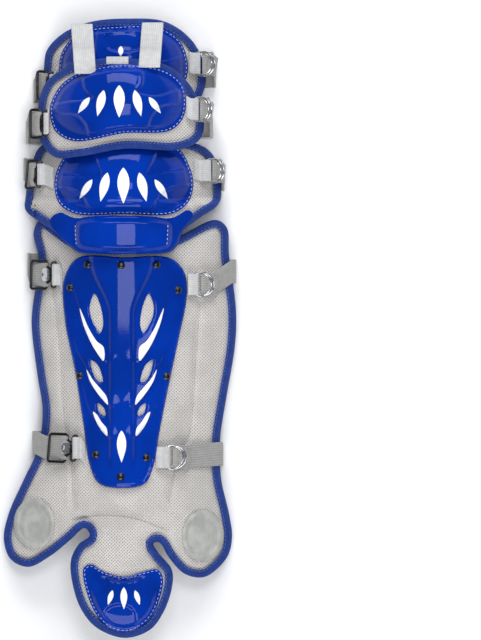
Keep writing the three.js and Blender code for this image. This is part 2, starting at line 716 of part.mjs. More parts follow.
// The way from a piece of hardware down over the wing's edge to the floor.
function overEdge(surface, outline, from, edgeAlong, side) {
  const y = alongToY(edgeAlong);
  const edge = edgeAt(outline, y, side);
  const past = STRAP_GAP + STRAP_WALL / 2;
  const points = [];
  const outermost = side * Math.max(side * edge, side * from.x) + side * past;
  if (side * (edge - from.x) > 2.5 * LEAST_STEP) {
    const start = { x: from.x + side * 2 * LEAST_STEP, y: THREE.MathUtils.lerp(from.y, y, 0.2) };
    points.push(...restingPoints(surface, start, { x: edge, y }, ELASTIC_WIDTH));
  }
  const shoulder = Math.min(points.at(-1)?.z ?? from.z, from.z) - past;
  const upright = outermost + side * EDGE_STAND_OFF;
  const turnedUnder = outermost - side * (past + CLEARANCE);
  points.push(new THREE.Vector3(upright, y, Math.max(shoulder, 3 * STRAP_WALL)));
  points.push(new THREE.Vector3(upright, y, 1.6 * STRAP_WALL));
  points.push(new THREE.Vector3(turnedUnder, y, STRAP_WALL / 2));
  return points;
}

function addStrapRow(row) {
  const pad = pads[row.pad];
  const outline = outlines[row.pad];
  const acrossWay = new THREE.Vector3(0, 1, 0);
  const hookX = acrossToX(row.hookEnd.across) - row.hookLength / 2;
  const ringX = acrossToX(row.ring.across);

  const hookY = alongToY(row.hookEnd.along);
  const hook = seatOn(buckle(row.hookLength), pad.skin, hookX, hookY, true);
  addPiece(`${row.name}_hook`, hook.geometry, COLOURS.black);
  const torus = new THREE.TorusGeometry(RING_RADIUS, RING_WIRE, WIRE_SIDES, RING_SIDES);
  const ring = seatOn(torus, pad.skin, ringX, alongToY(row.ring.along), true);
  addPiece(`${row.name}_ring`, ring.geometry, COLOURS.steel);

  // The tabs lie on the pad and end over the ring and over the hook's inner slot.
  const half = row.hookLength / 2;
  const ringReach = RING_RADIUS + RING_WIRE + HARDWARE_MARGIN;
  const overHook = overHardware(hook.place, FRAME_WALL, half + HARDWARE_MARGIN, MIDDLE_GAP);
  const overRing = overHardware(ring.place, RING_WIRE * 2, -ringReach, -MIDDLE_GAP);
  const tabs = [
    { name: "left", from: row.leftTab, end: overHook, side: -1 },
    { name: "right", from: row.rightTab, end: overRing, side: 1 },
  ];
  for (const { name, from, end, side } of tabs) {
    const start = { x: acrossToX(from.across), y: alongToY(from.along) };
    const stop = { x: end[0].x - side * 2 * LEAST_STEP, y: end[0].y };
    const isLong = side * (stop.x - start.x) > 1.5 * LEAST_STEP;
    const rest = isLong ? restingPoints(pad.skin, start, stop, WEBBING_WIDTH) : [];
    const tab = bentStrip([...rest, ...end], acrossWay, WEBBING_WIDTH, STRAP_WALL);
    addPiece(`${row.name}_tab_${name}`, tab, COLOURS.webbing);
  }

  // The elastic starts over the hook's outer slot, passes behind the leg and ends over the ring.
  const left = overHardware(hook.place, FRAME_WALL, -MIDDLE_GAP, -half - HARDWARE_MARGIN);
  const right = overHardware(ring.place, RING_WIRE * 2, MIDDLE_GAP, ringReach);
  const leftWay = overEdge(pad.skin, outline, left[1], row.leftEdge, -1);
  const rightWay = overEdge(pad.skin, outline, right[1], row.rightEdge, 1);
  const path = [...left, ...leftWay, ...rightWay.reverse(), ...right.reverse()];
  addPiece(`${row.name}_strap`, bentStrip(path, acrossWay, ELASTIC_WIDTH, STRAP_WALL), COLOURS.elastic);
}

// The two webbing straps that tie the thigh flap to the upper knee flap.
function addLiftStraps() {
  const capOrPad = (x, y) => Math.max(thigh.skin(x, y), thighCapTop(x, y));
  const flapEdge = alongToY(OUTLINES.upper[4][1]) + LATTICE / 2;
  for (const strap of LIFT_STRAPS) {
    const x = acrossToX(strap.across);
    const top = alongToY(strap.top);
    const bottom = alongToY(strap.bottom);
    const stops = [top];
    for (let line = Math.floor(top / LATTICE); line * LATTICE > bottom + LEAST_STEP; line -= 1) {
      stops.push(line * LATTICE);
    }
    stops.push(bottom);
    const path = stops.map((y) => {
      const surface = y > flapEdge ? capOrPad : upper.skin;
      const height = highestAcross(surface, x, y, WEBBING_WIDTH / 2, 0);
      return new THREE.Vector3(x, y, height + STRAP_GAP + STRAP_WALL / 2);
    });
    const acrossWay = new THREE.Vector3(1, 0, 0);
    addPiece(strap.name, bentStrip(path, acrossWay, WEBBING_WIDTH, STRAP_WALL), COLOURS.webbing);
  }
}

// The small webbing tab on the upper knee flap's top edge.
function addCentreTab() {
  const corners = [[-0.11, 0.9245], [0.076, 0.9245], [0.076, 0.935], [-0.11, 0.935]];
  const outline = corners.map(([across, along]) => (
    new THREE.Vector2(acrossToX(across), alongToY(along))
  ));
  const under = (x, y) => upper.skin(x, y) + LAYER_GAP;
  layer("centre_tab", outline, under, (x, y) => under(x, y) + TAB_WALL, COLOURS.webbing);
}

function addKneeFront() {
  const gussetUnder = (x, y) => knee.skin(x, y) + LAYER_GAP;
  const gussetTop = (x, y) => gussetUnder(x, y) + GUSSET_WALL;
  layer("knee_gusset", outlines.gusset, gussetUnder, gussetTop, COLOURS.shell);
  const barUnder = (x, y) => gussetTop(x, y) + LAYER_GAP;
  layer("knee_bar", outlines.bar, barUnder, (x, y) => barUnder(x, y) + BAR_HEIGHT, COLOURS.shell);
}

addPad("shin", "shin");
addPad("knee", "knee");
addPad("upper_knee", "upper");
addPad("thigh", "thigh");
const plateTop = addPlate();
addRivets(plateTop);
addDiscs();
addCap("knee_cap", outlines.kneeCap, knee.skin, kneeCapTop);
addCap("upper_knee_cap", outlines.upperCap, upper.skin, upperCapTop);
addCap("thigh_cap", outlines.thighCap, thigh.skin, thighCapTop);
addCap("toe_cap", outlines.toeCap, shin.skin, capTop(outlines.toeCap, shin.skin, TOE_CAP_DOME));
addKneeFront();
addLiftStraps();
addCentreTab();
ROWS.forEach(addStrapRow);

// The origin is the middle of the underside.
const box = new THREE.Box3().setFromObject(guard);
const middle = box.getCenter(new THREE.Vector3());
guard.position.set(-middle.x, -middle.y, -box.min.z);

export default guard;
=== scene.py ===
"""The looks of a catcher's leg guard that lies face up: padded mesh cushions with knit edge tape,
glossy moulded caps and shin plate, black rivets and hooks, wire rings and woven straps."""
import math
from collections import namedtuple

import bpy
import numpy as np
from bpy.props import FloatProperty, FloatVectorProperty, PointerProperty
from bpy.types import Operator, Panel, PropertyGroup
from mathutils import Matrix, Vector
from mathutils.geometry import delaunay_2d_cdt


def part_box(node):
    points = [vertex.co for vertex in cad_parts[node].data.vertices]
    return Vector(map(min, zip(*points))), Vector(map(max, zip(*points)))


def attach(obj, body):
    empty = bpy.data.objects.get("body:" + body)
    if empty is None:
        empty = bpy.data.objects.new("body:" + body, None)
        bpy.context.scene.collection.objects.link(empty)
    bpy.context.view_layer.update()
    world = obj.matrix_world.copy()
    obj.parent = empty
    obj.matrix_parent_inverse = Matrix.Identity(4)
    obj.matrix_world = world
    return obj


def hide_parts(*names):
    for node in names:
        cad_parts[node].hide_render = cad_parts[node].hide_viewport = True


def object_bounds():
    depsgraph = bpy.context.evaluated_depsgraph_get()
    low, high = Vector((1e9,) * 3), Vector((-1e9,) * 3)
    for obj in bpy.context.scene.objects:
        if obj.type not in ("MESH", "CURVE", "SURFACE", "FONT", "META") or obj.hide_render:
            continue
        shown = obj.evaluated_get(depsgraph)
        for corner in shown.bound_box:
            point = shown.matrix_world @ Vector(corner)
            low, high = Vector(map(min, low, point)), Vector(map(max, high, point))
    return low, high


bl_info = {
    "name": "Catcher leg guard",
    "version": (1, 0, 0),
    "blender": (4, 5, 0),
    "location": "View3D > Sidebar > Leg guard",
    "description": "Builds the padded leg guard around its packed frame",
    "category": "Add Mesh",
}

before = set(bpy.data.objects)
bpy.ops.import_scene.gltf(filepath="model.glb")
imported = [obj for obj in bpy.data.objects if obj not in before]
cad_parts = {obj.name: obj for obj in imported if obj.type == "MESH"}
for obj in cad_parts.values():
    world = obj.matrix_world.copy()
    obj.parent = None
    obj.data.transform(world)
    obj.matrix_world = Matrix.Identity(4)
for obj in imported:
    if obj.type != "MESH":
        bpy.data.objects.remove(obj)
CAD_LOW, CAD_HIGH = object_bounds()

MM = 0.001
UP = np.array([0.0, 0.0, 1.0])
ACROSS = np.array([1.0, 0.0, 0.0])
ALONG = np.array([0.0, 1.0, 0.0])

# Overall sizes, as the frame has them.
LENGTH = 730 * MM
WIDTH = 278 * MM
TOE_Y = CAD_LOW.y + 0.7 * MM
MIDDLE_X = 0.5 * MM
SHIN_ARCH = 86 * MM
KNEE_ARCH = 97 * MM
UPPER_ARCH = 114 * MM
THIGH_ARCH = 84 * MM
WING_LIFT = 4.5 * MM
UPPER_WING_LIFT = 38 * MM
PAD_THICKNESS = 14 * MM
FLAP_THICKNESS = 11 * MM
EDGE_THINNING = 0.4
EDGE_POWER = 6
CROWN_ROUNDNESS = 0.5
BINDING_WIDTH = 9 * MM
BINDING_PROUD = 0.8 * MM
LAYER_GAP = 0.5 * MM
CAP_RIM = 3 * MM
CAP_DOME = 13 * MM
TOE_CAP_DOME = 7 * MM
DOME_POWER = 3
SPINE_ACROSS = 0.017
SHIN_TOP_END = 0.705

# Outlines as seen from above. Across is a share of half the width, along a share of the length.
OUTLINES = {
    "shin": [
        (-0.679, 0.675), (-0.357, 0.639), (0.017, 0.631), (0.407, 0.641), (0.815, 0.675),
        (0.908, 0.662), (0.925, 0.618), (0.985, 0.529), (0.976, 0.472), (0.9, 0.384),
        (0.849, 0.319), (0.857, 0.257), (0.925, 0.199), (0.951, 0.161), (0.908, 0.128),
        (0.722, 0.097), (0.552, 0.102), (0.424, 0.127), (0.331, 0.154), (0.284, 0.152),
        (0.323, 0.138), (0.441, 0.109), (0.441, 0.08), (0.365, 0.039), (0.255, 0.012),
        (0.042, -0.001), (-0.195, 0.015), (-0.323, 0.043), (-0.399, 0.083), (-0.416, 0.125),
        (-0.348, 0.151), (-0.255, 0.165), (-0.297, 0.177), (-0.424, 0.157), (-0.594, 0.131),
        (-0.781, 0.113), (-0.934, 0.125), (-0.993, 0.157), (-0.951, 0.199), (-0.815, 0.257),
        (-0.705, 0.303), (-0.662, 0.364), (-0.705, 0.422), (-0.756, 0.51), (-0.722, 0.568),
        (-0.696, 0.613), (-0.739, 0.655),
    ],
    "plate": [
        (-0.357, 0.613), (0.042, 0.614), (0.424, 0.613), (0.543, 0.592), (0.569, 0.553),
        (0.501, 0.484), (0.416, 0.408), (0.34, 0.335), (0.28, 0.274), (0.212, 0.249),
        (0.017, 0.242), (-0.17, 0.249), (-0.246, 0.274), (-0.314, 0.351), (-0.382, 0.432),
        (-0.467, 0.513), (-0.475, 0.578),
    ],
    "toe_cap": [
        (-0.306, 0.112), (-0.238, 0.118), (-0.136, 0.107), (0.042, 0.099), (0.229, 0.108),
        (0.323, 0.11), (0.365, 0.096), (0.34, 0.065), (0.255, 0.031), (0.085, 0.01),
        (-0.085, 0.015), (-0.229, 0.047),
    ],
    "knee": [
        (-0.679, 0.794), (-0.34, 0.807), (0.017, 0.81), (0.382, 0.807), (0.705, 0.794),
        (0.806, 0.775), (0.857, 0.731), (0.84, 0.702), (0.679, 0.678), (0.543, 0.657),
        (0.475, 0.63), (0.407, 0.6215), (0.017, 0.6215), (-0.34, 0.6215), (-0.424, 0.632),
        (-0.552, 0.655), (-0.679, 0.671), (-0.806, 0.691), (-0.806, 0.715), (-0.756, 0.763),
    ],
    "knee_cap": [
        (-0.424, 0.784), (0, 0.797), (0.484, 0.791), (0.594, 0.759), (0.624, 0.731),
        (0.577, 0.702), (0.441, 0.684), (0.034, 0.683), (-0.374, 0.684), (-0.509, 0.7),
        (-0.556, 0.726), (-0.526, 0.759),
    ],
    "gusset": [
        (-0.594, 0.673), (-0.509, 0.686), (-0.391, 0.678), (0.034, 0.678), (0.45, 0.678),
        (0.577, 0.69), (0.62, 0.684), (0.518, 0.657), (0.441, 0.63), (0.017, 0.627),
        (-0.374, 0.63),
    ],
    "bar": [
        (-0.348, 0.676), (0.416, 0.675), (0.458, 0.667), (0.45, 0.632), (0.407, 0.624),
        (-0.34, 0.624), (-0.382, 0.632), (-0.391, 0.667),
    ],
    "upper": [
        (-0.688, 0.869), (-0.611, 0.901), (-0.424, 0.923), (-0.204, 0.933), (0.068, 0.934),
        (0.382, 0.925), (0.552, 0.902), (0.654, 0.873), (0.713, 0.833), (0.679, 0.805),
        (0.509, 0.788), (0.042, 0.788), (-0.34, 0.776), (-0.552, 0.776), (-0.671, 0.801),
        (-0.696, 0.833),
    ],
    "upper_cap": [
        (-0.594, 0.849), (-0.577, 0.867), (-0.484, 0.894), (-0.297, 0.914), (0.042, 0.924),
        (0.382, 0.915), (0.518, 0.896), (0.56, 0.872), (0.535, 0.838), (0.424, 0.818),
        (0.042, 0.813), (-0.382, 0.801), (-0.543, 0.817),
    ],
    "thigh": [
        (-0.654, 0.917), (-0.628, 0.949), (-0.492, 0.976), (-0.255, 0.994), (0.068, 0.999),
        (0.382, 0.995), (0.594, 0.969), (0.705, 0.933), (0.722, 0.893), (0.645, 0.866),
        (0.34, 0.858), (0.017, 0.856), (-0.34, 0.858), (-0.594, 0.862), (-0.679, 0.883),
    ],
    "thigh_cap": [
        (-0.518, 0.927), (-0.475, 0.953), (-0.34, 0.978), (0, 0.987), (0.34, 0.985),
        (0.509, 0.964), (0.577, 0.925), (0.535, 0.894), (0.34, 0.878), (0.017, 0.873),
        (-0.323, 0.88), (-0.484, 0.894),
    ],
}

# Sections along each pad: the wings' edges as shares of half the width, and the crown's height as a
# share of the pad's arch. Columns: along, left, right, crown.
SECTIONS = {
    "shin": [
        (0, -0.993, 0.951, 0.7), (0.09, -0.993, 0.951, 0.85), (0.161, -0.993, 0.951, 0.95),
        (0.219, -0.917, 0.9, 1), (0.257, -0.815, 0.857, 1), (0.319, -0.7, 0.849, 1),
        (0.384, -0.685, 0.9, 1), (0.464, -0.73, 0.968, 1), (0.537, -0.75, 0.985, 1),
        (0.616, -0.735, 0.934, 1), (0.683, -0.739, 0.905, 1),
    ],
    "knee": [
        (0.62, -0.82, 0.86, 0.93), (0.68, -0.82, 0.86, 1), (0.73, -0.8, 0.86, 1),
        (0.81, -0.74, 0.8, 0.94),
    ],
    "upper": [
        (0.776, -0.7, 0.71, 0.985), (0.86, -0.7, 0.71, 1), (0.934, -0.66, 0.68, 0.95),
    ],
    "thigh": [
        (0.85, -0.68, 0.725, 0.86), (0.945, -0.67, 0.72, 0.93), (1, -0.66, 0.71, 1),
    ],
}


def placed(rows):
    """Rows of (across, along) shares as points in the frame: across times half the width, and along
    times the length from the toe end."""
    shares = np.array(rows, float)
    x = shares[:, 0] * WIDTH / 2 + MIDDLE_X
    y = shares[:, 1] * LENGTH + TOE_Y
    return np.stack([x, y], axis=1)


def even_steps(points, step, closed=False):
    """The line through the points again, with its points as near to step apart as fits evenly."""
    line = np.vstack([points, points[:1]]) if closed else points
    lengths = np.linalg.norm(np.diff(line, axis=0), axis=1)
    along = np.concatenate([[0], np.cumsum(lengths)])
    count = max(3, int(round(along[-1] / step)))
    at = np.linspace(0, along[-1], count + 1)
    even = np.stack([np.interp(at, along, line[:, k]) for k in range(line.shape[1])], axis=1)
    return even[:-1] if closed else even


def curved_through(points, closed=False, finer=16):
    """A centripetal Catmull-Rom curve through the points. Between two points it is the cubic whose
    tangents are the differences of their neighbours, weighed by the roots of the chord lengths."""
    points = np.asarray(points, float)
    if closed:
        line = np.vstack([points[-1:], points, points[:2]])
    else:
        line = np.vstack([2 * points[0] - points[1], points, 2 * points[-1] - points[-2]])
    a, b, c, d = line[:-3], line[1:-2], line[2:-1], line[3:]
    near = [np.sqrt(np.maximum(np.linalg.norm(q - p, axis=1), 1e-9))[:, None]
            for p, q in ((a, b), (b, c), (c, d))]
    first = (b - a) / near[0] - (c - a) / (near[0] + near[1]) + (c - b) / near[1]
    last = (c - b) / near[1] - (d - b) / (near[1] + near[2]) + (d - c) / near[2]
    first, last = first * near[1], last * near[1]
    t = np.linspace(0, 1, finer, endpoint=False)[None, :, None]
    b, c, first, last = (v[:, None, :] for v in (b, c, first, last))
    curve = ((2 * t ** 3 - 3 * t ** 2 + 1) * b + (t ** 3 - 2 * t ** 2 + t) * first
             + (3 * t ** 2 - 2 * t ** 3) * c + (t ** 3 - t ** 2) * last)
    curve = curve.reshape(-1, points.shape[1])
    return curve if closed else np.vstack([curve, points[-1:]])


def turned_left(loop):
    """The closed loop in counter-clockwise order, by the sign of its area."""
    after = np.roll(loop, -1, axis=0)
    area = np.sum(loop[:, 0] * after[:, 1] - loop[:, 1] * after[:, 0])
    return loop if area > 0 else loop[::-1]


def outline(rows, step):
    """A closed smooth outline through a table's shares, with even points."""
    return turned_left(even_steps(curved_through(placed(rows), closed=True), step, closed=True))


def line_of(rows, step):
    """An open smooth line through a table's shares, with even points."""
    return even_steps(curved_through(placed(rows)), step)


def in_chunks(points, work, size=1500):
    """The work done on a few points at a time, so that its tables stay small."""
    return np.concatenate([work(points[i:i + size]) for i in range(0, len(points), size)])


def inside(points, loop):
    """True for a point from which a ray to the right crosses the loop an odd number of times."""
    a, b = loop, np.roll(loop, -1, axis=0)
    rise = np.where(a[:, 1] == b[:, 1], 1, b[:, 1] - a[:, 1])

    def count(part):
        x, y = part[:, :1], part[:, 1:]
        spans = (a[:, 1] > y) != (b[:, 1] > y)
        meets = a[:, 0] + (y - a[:, 1]) * (b[:, 0] - a[:, 0]) / rise
        return (spans & (x < meets)).sum(axis=1) % 2 == 1

    return in_chunks(points, count)


def distance(points, line, closed=False):
    """How far each point is from the line, by its nearest place on each of the line's pieces."""
    a = line if closed else line[:-1]
    b = np.roll(line, -1, axis=0) if closed else line[1:]
    way = b - a
    size = np.maximum((way ** 2).sum(axis=1), 1e-18)

    def least(part):
        from_start = part[:, None, :] - a[None]
        share = np.clip((from_start * way).sum(axis=2) / size, 0, 1)
        off = from_start - share[..., None] * way
        return np.sqrt((off ** 2).sum(axis=2).min(axis=1))

    return in_chunks(points, least)


def depth(points, loop):
    """How far a point lies inside a closed loop, and less than nothing outside it."""
    return distance(points, loop, closed=True) * np.where(inside(points, loop), 1, -1)


def ease(value, low, high):
    """Nothing below low, one above high, and a smooth step between: 3 t squared less 2 t cubed."""
    t = np.clip((value - low) / (high - low), 0, 1)
    return t * t * (3 - 2 * t)


def hill(value, width):
    """A smooth hill of height one at nothing, e to the minus (value / width) squared."""
    return np.exp(-(value / width) ** 2)


def greater(a, b, blend=1.5 * MM):
    """The greater of two heights with a rounded meeting: the mean plus half the root of the
    difference squared and the blend squared."""
    return (a + b) / 2 + np.sqrt((a - b) ** 2 + blend ** 2) / 2 - blend / 2


def arch_share(key, x, y):
    """How far out on the wing a point is, from nothing on the crown to one at the wing's edge."""
    table = np.array(SECTIONS[key], float)
    along = (y - TOE_Y) / LENGTH
    centre = SPINE_ACROSS * WIDTH / 2 + MIDDLE_X
    left, right = (np.interp(along, table[:, 0], table[:, k]) for k in (1, 2))
    edge = np.where(x < centre, left, right) * WIDTH / 2 + MIDDLE_X
    return (x - centre) / (edge - centre)


def arch(key, height, thickness, lift, x, y):
    """A pad's underside: a hyperbola across the leg, with a round crown and wings that all but
    reach the floor."""
    table = np.array(SECTIONS[key], float)
    crown = height * np.interp((y - TOE_Y) / LENGTH, table[:, 0], table[:, 3]) - thickness
    reach = np.minimum(arch_share(key, x, y), 1)
    fall = np.hypot(CROWN_ROUNDNESS, reach) - CROWN_ROUNDNESS
    full = math.hypot(CROWN_ROUNDNESS, 1) - CROWN_ROUNDNESS
    return lift + (crown - lift) * (1 - fall / full)


def steepness(surface, x, y):
    """How much taller a wall measures upright than square to its slope across the leg."""
    slope = (surface(x + MM, y) - surface(x - MM, y)) / (2 * MM)
    return np.hypot(1, slope)


def pad_top(key, x, y):
    """A pad's top: its underside plus its wall, which thins late towards the wing's edge."""
    under = UNDERSIDES[key]
    share = np.minimum(arch_share(key, x, y), 1)
    wall = PAD_WALLS[key] * (1 - EDGE_THINNING * share ** EDGE_POWER)
    return under(x, y) + wall * steepness(under, x, y)


def pad_skin(key, x, y):
    """What lies on a pad and its tape rests at this height."""
    return pad_top(key, x, y) + BINDING_PROUD


def cap_reach(name, x, y):
    """How far out a point is in a cap's own box, from nothing in the middle to one at the rim."""
    low, high = OUTLINE_BOXES[name]
    centre, half = (low + high) / 2, (high - low) / 2
    return np.hypot((x - centre[0]) / half[0], (y - centre[1]) / half[1])


def cap_limit(name, key, dome, x, y):
    """The height that a cap's solid reaches: a rim wall and a dome that falls off to the rim."""
    def skin(px, py):
        return pad_skin(key, px, py)

    rise = dome * np.maximum(0, 1 - cap_reach(name, x, y) ** DOME_POWER)
    return skin(x, y) + LAYER_GAP + (CAP_RIM + rise) * steepness(skin, x, y)


def shin_under(x, y):
    """The shin pad's underside."""
    return arch("shin", SHIN_ARCH, PAD_THICKNESS, WING_LIFT, x, y)


def knee_under(x, y):
    """The knee pad's underside, which rests on the shin pad at its lower end."""
    own = arch("knee", KNEE_ARCH, PAD_THICKNESS, WING_LIFT, x, y)
    resting = greater(own, pad_skin("shin", x, y) + BINDING_PROUD + LAYER_GAP)
    end = SHIN_TOP_END * LENGTH + TOE_Y
    return own + (resting - own) * (1 - ease(y, end - 4 * MM, end + 4 * MM))


def thigh_under(x, y):
    """The thigh flap's underside."""
    return arch("thigh", THIGH_ARCH, FLAP_THICKNESS, WING_LIFT, x, y)


def upper_under(x, y):
    """The upper knee flap's underside, which rests on the knee and thigh pads and their caps."""
    own = arch("upper", UPPER_ARCH, FLAP_THICKNESS, UPPER_WING_LIFT, x, y)
    knee = cap_limit("knee_cap", "knee", CAP_DOME, x, y)
    thigh = cap_limit("thigh_cap", "thigh", CAP_DOME, x, y)
    return greater(own, np.maximum(knee, thigh) + BINDING_PROUD + LAYER_GAP)


UNDERSIDES = {"shin": shin_under, "knee": knee_under, "upper": upper_under, "thigh": thigh_under}
PAD_WALLS = {"shin": PAD_THICKNESS, "knee": PAD_THICKNESS, "upper": FLAP_THICKNESS,
             "thigh": FLAP_THICKNESS}
OUTLINE_BOXES = {
    name: (outline(rows, 4 * MM).min(axis=0), outline(rows, 4 * MM).max(axis=0))
    for name, rows in OUTLINES.items()
}


def put_together(*parts):
    """Several (points, faces) as one, with each part's faces counted on from the points before."""
    points, faces, start = [], [], 0
    for part_points, part_faces in parts:
        points.append(part_points)
        faces += [face + start for face in part_faces]
        start += len(part_points)
    return np.vstack(points), faces


def outward(points, faces):
    """The faces of a closed piece, all turned round if the space that they hold comes out as less
    than nothing: a sixth of the sum of each triangle's triple product."""
    held = 0.0
    for group in faces:
        first = points[group[:, 0]]
        for k in range(1, group.shape[1] - 1):
            turn = np.cross(points[group[:, k]], points[group[:, k + 1]])
            held += float((first * turn).sum())
    return faces if held > 0 else [group[:, ::-1] for group in faces]


def add_piece(name, points, faces, material, replaces=(), uv=None, sharp=None,
              printed=None):
    """A mesh piece from points and groups of faces with the same number of corners. It rides on the
    guard's one body and stands for the named nodes of the frame. The faces of the first group that
    printed marks take the second material that it gives."""
    faces = outward(points, faces)
    mesh = bpy.data.meshes.new(name)
    corners = np.concatenate([group.ravel() for group in faces]).astype(np.int32)
    totals = np.concatenate([np.full(len(group), group.shape[1]) for group in faces])
    mesh.vertices.add(len(points))
    mesh.vertices.foreach_set("co", np.asarray(points, np.float32).ravel())
    mesh.loops.add(len(corners))
    mesh.loops.foreach_set("vertex_index", corners)
    mesh.polygons.add(len(totals))
    starts = np.concatenate([[0], np.cumsum(totals)[:-1]]).astype(np.int32)
    mesh.polygons.foreach_set("loop_start", starts)
    mesh.update(calc_edges=True)
    mesh.shade_smooth()
    if sharp is not None:
        mesh.set_sharp_from_angle(angle=math.radians(sharp))
    if uv is not None:
        layer = mesh.uv_layers.new(name="cloth")
        layer.data.foreach_set("uv", np.asarray(uv, np.float32)[corners].ravel())
    mesh.materials.append(material)
    if printed is not None:
        ink, marked = printed
        mesh.materials.append(ink)
        index = np.zeros(len(totals), np.int32)
        index[:len(marked)] = marked
        mesh.polygons.foreach_set("material_index", index)
    piece = bpy.data.objects.new(name, mesh)
    bpy.context.scene.collection.objects.link(piece)
    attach(piece, "root")
    if replaces:
        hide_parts(*replaces)
    return piece


def grid_faces(rows, columns, close_rows=False, close_columns=False):
    """The four-sided faces of a grid of points, joined end to end where it is closed."""
    i = np.arange(rows if close_rows else rows - 1)[:, None]
    j = np.arange(columns if close_columns else columns - 1)[None, :]
    below, right = (i + 1) % rows, (j + 1) % columns
    quads = [i * columns + j, i * columns + right, below * columns + right, below * columns + j]
    return np.stack([np.broadcast_to(q, (len(i), j.shape[1])).ravel() for q in quads], axis=1)


def filled(loop, step, holes=(), lines=()):
    """Points and triangles that fill a closed outline. The points are the outline's own, those of its
    holes and inner lines, and staggered rows that keep off them."""
    low, high = loop.min(axis=0), loop.max(axis=0)
    row_gap = step * math.sqrt(3) / 2
    xs = np.arange(low[0], high[0], step)
    ys = np.arange(low[1], high[1], row_gap)
    x, y = np.meshgrid(xs, ys)
    x = x + step / 2 * (np.arange(len(ys)) % 2)[:, None]
    field = np.stack([x.ravel(), y.ravel()], axis=1)
    field = field[depth(field, loop) > 0.6 * step]
    for hole in holes:
        field = field[depth(field, hole) < -0.5 * step]
    for line in lines:
        field = field[distance(field, line) > 0.5 * step]
    points, edges, start = [], [], 0
    for ring, closed in [(loop, True)] + [(h, True) for h in holes] + [(v, False) for v in lines]:
        count = len(ring)
        last = count if closed else count - 1
        edges += [(start + i, start + (i + 1) % count) for i in range(last)]
        points.append(ring)
        start += count
    points.append(field)
    corners = [Vector(p) for p in np.vstack(points)]
    made, _, triangles, *_ = delaunay_2d_cdt(corners, edges, [], 0, 1e-7)
    made = np.array([tuple(p) for p in made])
    triangles = np.array([tuple(t) for t in triangles])
    middles = made[triangles].mean(axis=1)
    keep = inside(middles, loop)
    for hole in holes:
        keep &= ~inside(middles, hole)
    return made, triangles[keep]


def rim_of(triangles):
    """The edges that only one triangle has, each in that triangle's order."""
    sides = np.concatenate([triangles[:, [0, 1]], triangles[:, [1, 2]], triangles[:, [2, 0]]])
    keys = np.sort(sides, axis=1)
    _, where, count = np.unique(keys, axis=0, return_index=True, return_counts=True)
    return sides[where[count == 1]]


def slab(flat, triangles, under, over):
    """A closed piece between two heights: the flat triangles at the upper height, the same turned
    over at the lower one, and a wall along every rim edge."""
    count = len(flat)
    points = np.vstack([np.column_stack([flat, over]), np.column_stack([flat, under])])
    rim = rim_of(triangles)
    wall = np.stack([rim[:, 1], rim[:, 0], rim[:, 0] + count, rim[:, 1] + count], axis=1)
    return points, [triangles, triangles[:, ::-1] + count, wall]


def rim_normals(loop):
    """The way out of a counter-clockwise loop at each point, square to its neighbours' chord."""
    chord = np.roll(loop, -1, axis=0) - np.roll(loop, 1, axis=0)
    chord /= np.linalg.norm(chord, axis=1)[:, None]
    return np.stack([chord[:, 1], -chord[:, 0]], axis=1)


def moved_in(loop, inset):
    """The loop moved inwards, point for point. Where a tight bend would fold it over itself, the
    points in between are drawn along the straight way."""
    moved = loop - rim_normals(loop) * inset
    good = distance(moved, loop, closed=True) > inset * 0.97
    good &= inside(moved, loop)
    index = np.arange(len(loop))
    known = index[good]
    wrapped = np.concatenate([known - len(loop), known, known + len(loop)])
    values = np.vstack([moved[good]] * 3)
    return np.stack([np.interp(index, wrapped, values[:, k]) for k in range(2)], axis=1)


def carried(path, across, up, profile, closed_path=False):
    """A closed profile of (across, up) pairs carried along a path: each point of the path plus the
    profile's two numbers times the directions there. Its ends are filled from their middles."""
    rows, columns = len(path), len(profile)
    points = (path[:, None, :] + profile[None, :, :1] * across[:, None, :]
              + profile[None, :, 1:] * up[:, None, :]).reshape(-1, 3)
    faces = [grid_faces(rows, columns, close_rows=closed_path, close_columns=True)]
    if not closed_path:
        ring = np.arange(columns)
        after = (ring + 1) % columns
        first, last = rows * columns, rows * columns + 1
        start, end = (rows - 1) * columns, np.full(columns, last)
        middles = np.stack([points[:columns].mean(axis=0), points[start:].mean(axis=0)])
        points = np.vstack([points, middles])
        faces.append(np.stack([after, ring, np.full(columns, first)], axis=1))
        faces.append(np.stack([ring + start, after + start, end], axis=1))
    return points, faces


def run_of(path):
    """How far along the path each point lies."""
    steps = np.linalg.norm(np.diff(path, axis=0), axis=1)
    return np.concatenate([[0], np.cumsum(steps)])


def tangents(path, closed=False):
    """The direction of the path at each point, from its neighbours."""
    if closed:
        way = np.roll(path, -1, axis=0) - np.roll(path, 1, axis=0)
    else:
        way = np.gradient(path, axis=0)
    return way / np.maximum(np.linalg.norm(way, axis=1), 1e-12)[:, None]


def unit(vectors):
    """Each vector at length one."""
    return vectors / np.maximum(np.linalg.norm(vectors, axis=-1, keepdims=True), 1e-12)


def circle(radius, sides, squash=1.0):
    """A round profile with its second direction squashed."""
    turn = np.arange(sides) / sides * 2 * math.pi
    return np.stack([radius * np.cos(turn), radius * squash * np.sin(turn)], axis=1)


def strip_profile(width, wall, corner_steps=3):
    """The section of flat webbing: a straight top and bottom with half-round edges."""
    radius = wall / 2
    turn = np.linspace(-math.pi / 2, math.pi / 2, corner_steps + 2)
    right = np.stack([width / 2 - radius + radius * np.cos(turn), radius * np.sin(turn)], axis=1)
    inner = np.linspace(width / 2 - radius, -width / 2 + radius, 7)[1:-1]
    top = np.stack([inner, np.full(len(inner), radius)], axis=1)
    return np.vstack([right, top, -right, -top])


